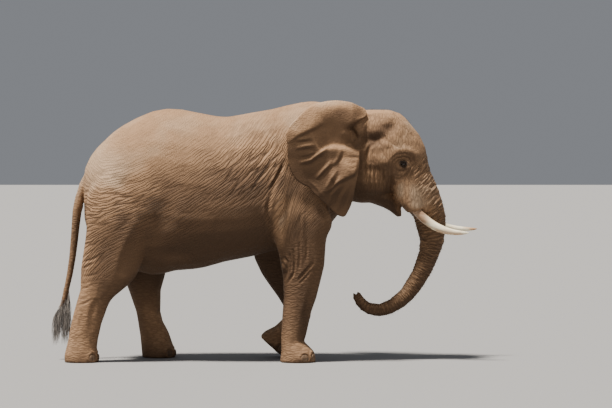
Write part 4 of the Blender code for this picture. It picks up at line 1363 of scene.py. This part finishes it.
# Colours of the hide, dusty to bare, with painted shade in its ruts, round its eyes and where it faces down,
# and painted highlight where it is palest
DUST = (0.43, 0.254, 0.138)
EARTH = (0.168, 0.097, 0.053)
# painted shade in the ruts and creases
RUT_PAINTED_SHADE = (0.050, 0.028, 0.016)
# damp dark skin, and the painted shade of the eye sockets
DAMP_SKIN_AND_SHADE = (0.030, 0.020, 0.014)
# bare hide, and the painted shade of undersides, inner legs and shaded places
BARE_HIDE_AND_SHADE = (0.045, 0.026, 0.015)
# pale dust, and a painted highlight on the lit rump and hip
PALE_DUST_AND_HIGHLIGHT = (0.56, 0.385, 0.245)


def hide_finish():
    f = Finish("dusty hide with painted shade", 0.8, 0.2)
    place = f.place()
    wander = f.shifted(place, 0.05, place)
    flank = f.shifted(f.written("flank_lie", "Vector"), 0.045, place)
    limb_place = f.shifted(f.written("limb_lie", "Vector"), 0.035, place)
    limb, ruts, ear, trunk = f.written("limb"), f.written("ruts"), f.written("ear"), f.written("trunk")
    head, dust_and_light, lids = f.written("head"), f.written("dust_and_light"), f.written("lids")
    body = (1 - limb) * (1 - ear) * (1 - head)
    face = head * f.written("sides") * (1 - limb) * (1 - ear)

    # long ridges along the lie of the flank and a crossing set, rings round the limbs and the trunk,
    # upright lines on the face, and fine ones on the ears
    long_ridge = f.eased(f.cells(f.scaled(flank, 34, 2.8, 1), 1.0, "2D"), 0.0, 0.26)
    cross_ridge = f.eased(f.cells(f.scaled(flank, 26, 44, 1), 1.0, "2D"), 0.0, 0.30)
    ring_ridge = f.eased(f.cells(f.scaled(limb_place, 10, 10, 30), 1.0), 0.0, 0.25)
    trunk_ridge = f.eased(f.cells(f.scaled(limb_place, 5, 5, 36), 1.0), 0.0, 0.30)
    face_ridge = f.eased(f.cells(f.scaled(wander, 32, 20, 9), 1.0), 0.0, 0.25)
    ear_ridge = f.eased(f.cells(f.scaled(wander, 22, 22, 34), 1.0), 0.0, 0.25)
    net = f.eased(f.cells(wander, 92.0), 0.0, 0.2)
    pebble = f.noise(place, 240.0, 3.0)
    lump = f.noise(place, 7.0, 3.0)
    worn = f.eased(f.noise(place, 5.0, 3.0), 0.35, 0.65)

    smooth = 1 - 0.6 * f.eased(dust_and_light, 0.75, 1.0)
    height = body * (long_ridge * smooth * (0.0020 + 0.0100 * ruts) + cross_ridge * 0.0018 * (0.4 + worn))
    height = height + limb * ring_ridge * (0.0014 + 0.0026 * worn) + face * face_ridge * 0.0026
    height = height + trunk * trunk_ridge * 0.0060 + ear * ear_ridge * 0.0016
    height = height + net * 0.0006 + 0.0006 * pebble + 0.010 * lump
    f.bumped(height)

    ring_ridge = ring_ridge * (1 - trunk) + trunk_ridge * trunk
    crest = body * (long_ridge * (0.35 + 0.65 * ruts) + 0.3 * cross_ridge)
    crest = crest + (limb * ring_ridge + face * face_ridge) * 0.6
    patches = f.eased(f.noise(place, 2.0, 4.0), 0.3, 0.7)
    # earthy to dusty; the amount also carries painted light and painted shade
    colour = f.mixed(f.eased(dust_and_light + 0.35 * patches, 0.25, 1.15), EARTH, DUST)
    colour = f.mixed(f.eased(f.noise(place, 26.0, 3.0), 0.45, 0.75) * 0.3, colour, EARTH)
    # painted shade: the dark bare colour where the hide faces down, between the legs and at the darkened
    # places of the table
    colour = f.mixed(0.8 * (1 - f.eased(dust_and_light, -0.6, 0.25)), colour, BARE_HIDE_AND_SHADE)
    # pale dust and painted highlight where the hide is dustiest and lightest
    colour = f.mixed(f.eased(dust_and_light + 0.5 * patches, 1.1, 1.9), colour, PALE_DUST_AND_HIGHLIGHT)
    # painted shade in the ruts and creases, deeper where the ruts run deep, and in the lines of the fine net
    groove_shade = (1 - crest) * (body * (0.30 + 0.90 * ruts) + limb * 0.5 + trunk * 0.25 + face * 0.6)
    groove_shade = groove_shade * 0.70 + (1 - net) * 0.15
    colour = f.mixed(groove_shade, colour, RUT_PAINTED_SHADE)
    # damp dark skin and painted shade round the eyes
    colour = f.mixed(lids * 0.9, colour, DAMP_SKIN_AND_SHADE)
    f.set("Base Color", colour)
    f.set("Roughness", 0.70 + 0.16 * lump)
    return f


def ivory_finish():
    f = Finish("ivory", 0.38)
    place = f.place()
    grain = f.noise(f.scaled(place, 3, 40, 40), 1.0, 3.0)
    stain = f.eased(f.noise(f.scaled(place, 5, 16, 16), 1.0, 3.0), 0.40, 0.60)
    root, worn = f.written("root"), f.written("worn")
    colour = f.mixed(stain * (0.40 + 0.6 * worn), (1.0, 0.91, 0.68), (0.50, 0.27, 0.12))
    colour = f.mixed(root * (0.60 + 0.5 * grain), colour, (0.30, 0.16, 0.085))
    f.set("Base Color", colour)
    f.bumped(0.0012 * grain)
    return f


def eye_finish():
    f = Finish("eye", 0.10, 0.35)
    f.set("Base Color", (0.018, 0.010, 0.006))
    f.shader.inputs["Coat Weight"].default_value = 0.12
    return f


def nail_finish():
    f = Finish("nail", 0.75, 0.25)
    place = f.place()
    streak = f.noise(f.scaled(place, 60, 60, 8), 1.0, 3.0)
    growth = f.noise(f.scaled(place, 6, 6, 150), 1.0, 2.0)
    dusty = f.eased(f.noise(place, 35.0, 3.0), 0.40, 0.62)
    horn = f.mixed(f.eased(streak, 0.3, 0.7), (0.10, 0.065, 0.042), (0.24, 0.16, 0.10))
    f.set("Base Color", f.mixed(dusty * 0.6, horn, EARTH))
    f.bumped(0.0012 * streak + 0.0012 * growth)
    return f


def hair_finish(name, dark, light):
    f = Finish(name, 0.5)
    place = f.place()
    streak = f.noise(f.scaled(place, 90, 90, 6), 1.0, 2.0)
    f.set("Base Color", f.mixed(f.eased(streak, 0.3, 0.7), dark, light))
    return f


def plain(name, colour, roughness):
    f = Finish(name, roughness)
    f.set("Base Color", colour)
    return f


# Stage

SUN_HEADING = (0.30, 0.19, -1.0)  # down and forward, from behind the near side


def stage():
    bm = bmesh.new()
    bmesh.ops.create_grid(bm, x_segments=1, y_segments=1, size=150)
    floor = from_bmesh("floor", bm)
    plain("pale floor", (0.30, 0.295, 0.29), 0.9).on(floor)

    world = bpy.data.worlds.new("studio")
    bpy.context.scene.world = world
    world.use_nodes = True
    sky = world.node_tree.nodes["Background"]
    sky.inputs["Color"].default_value = (0.88, 0.92, 1.0, 1)
    sky.inputs["Strength"].default_value = 0.25

    data = bpy.data.lights.new("key", "SUN")
    data.energy = 8.4
    data.angle = math.radians(9)
    data.color = (1.0, 0.95, 0.88)
    key = link("key", data)
    key.rotation_euler = Vector(SUN_HEADING).to_track_quat("-Z", "Y").to_euler()


CAMERA_PLACE = (0.5, -30, 2.44)
CAMERA_TILT = 1.2  # degrees down
CAMERA_LENS = 151.8


def camera():
    data = bpy.data.cameras.new("camera")
    data.lens = CAMERA_LENS
    data.sensor_width = 36
    data.clip_end = 500
    eye = link("camera", data)
    eye.location = (CAMERA_PLACE[0] + FORWARD, CAMERA_PLACE[1], CAMERA_PLACE[2])
    eye.rotation_euler = (math.radians(90 - CAMERA_TILT), 0, 0)
    bpy.context.scene.camera = eye


# The model

BRISTLES = {
    "Hairs to the square metre": 420.0,
    "Length": 0.05,
    "Thickness": 0.0008,
    "Lie": (0.1, 0.0, -1.0),
    "Lean": 0.3,
    "Seed": 7,
}
LASHES = {
    "Hairs to the square metre": 60000.0,
    "Length": 0.065,
    "Thickness": 0.0007,
    "Lie": (-0.25, 0.0, -1.0),
    "Lean": 0.45,
    "Seed": 4,
}


def give(piece, slot, *nodes):
    """Fix a piece to the body in the place of its solids."""
    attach(piece, "root")
    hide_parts(*nodes)


def elephant():
    hide = make_hide()
    points = read_vectors(hide.data, "co")
    points[:, 0] += FORWARD
    set_points(hide.data, points)
    hide_finish().on(hide)
    give(hide, "skin", *[p["node"] for p in SUBPARTS if p["material_slot"] == "skin"])

    ivory, wet, horn = ivory_finish(), eye_finish(), nail_finish()
    hair = hair_finish("tail hair", (0.060, 0.058, 0.062), (0.42, 0.38, 0.34))
    lash = hair_finish("lash hair", (0.014, 0.011, 0.010), (0.050, 0.038, 0.030))
    for name, side in SIDES:
        horned = tusk("tusk_" + name + "_ivory", side, FAR_TUSK_LONGER if side > 0 else 0)
        ivory.on(horned)
        give(horned, "ivory", "tusk_" + name)
        ball = eyeball("eye_" + name)
        ball.name = "eyeball_" + name
        wet.on(ball)
        give(ball, "eye", "eye_" + name)
    for foot, pitch, bearings in FEET:
        for k, bearing in enumerate(bearings):
            node = f"{foot}_nail_{k + 1}"
            nail = toenail(node, pitch, bearing)
            nail.name = "ridged_" + node
            horn.on(nail)
            give(nail, "nail", node)
    tree = hair_tree("hairs")
    for name, ground, sizes in (
        ("sparse_bristles", sparse_ground, BRISTLES),
        ("eyelashes", upper_lid, LASHES),
    ):
        grown = hairs(name, tree, hide_patch(hide, ground), lash, sizes)
        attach(grown, "root")
    brush = tail_brush("tail_brush")
    hair.on(brush)
    give(brush, "hair", "tail_tuft")


stage()
camera()
elephant()
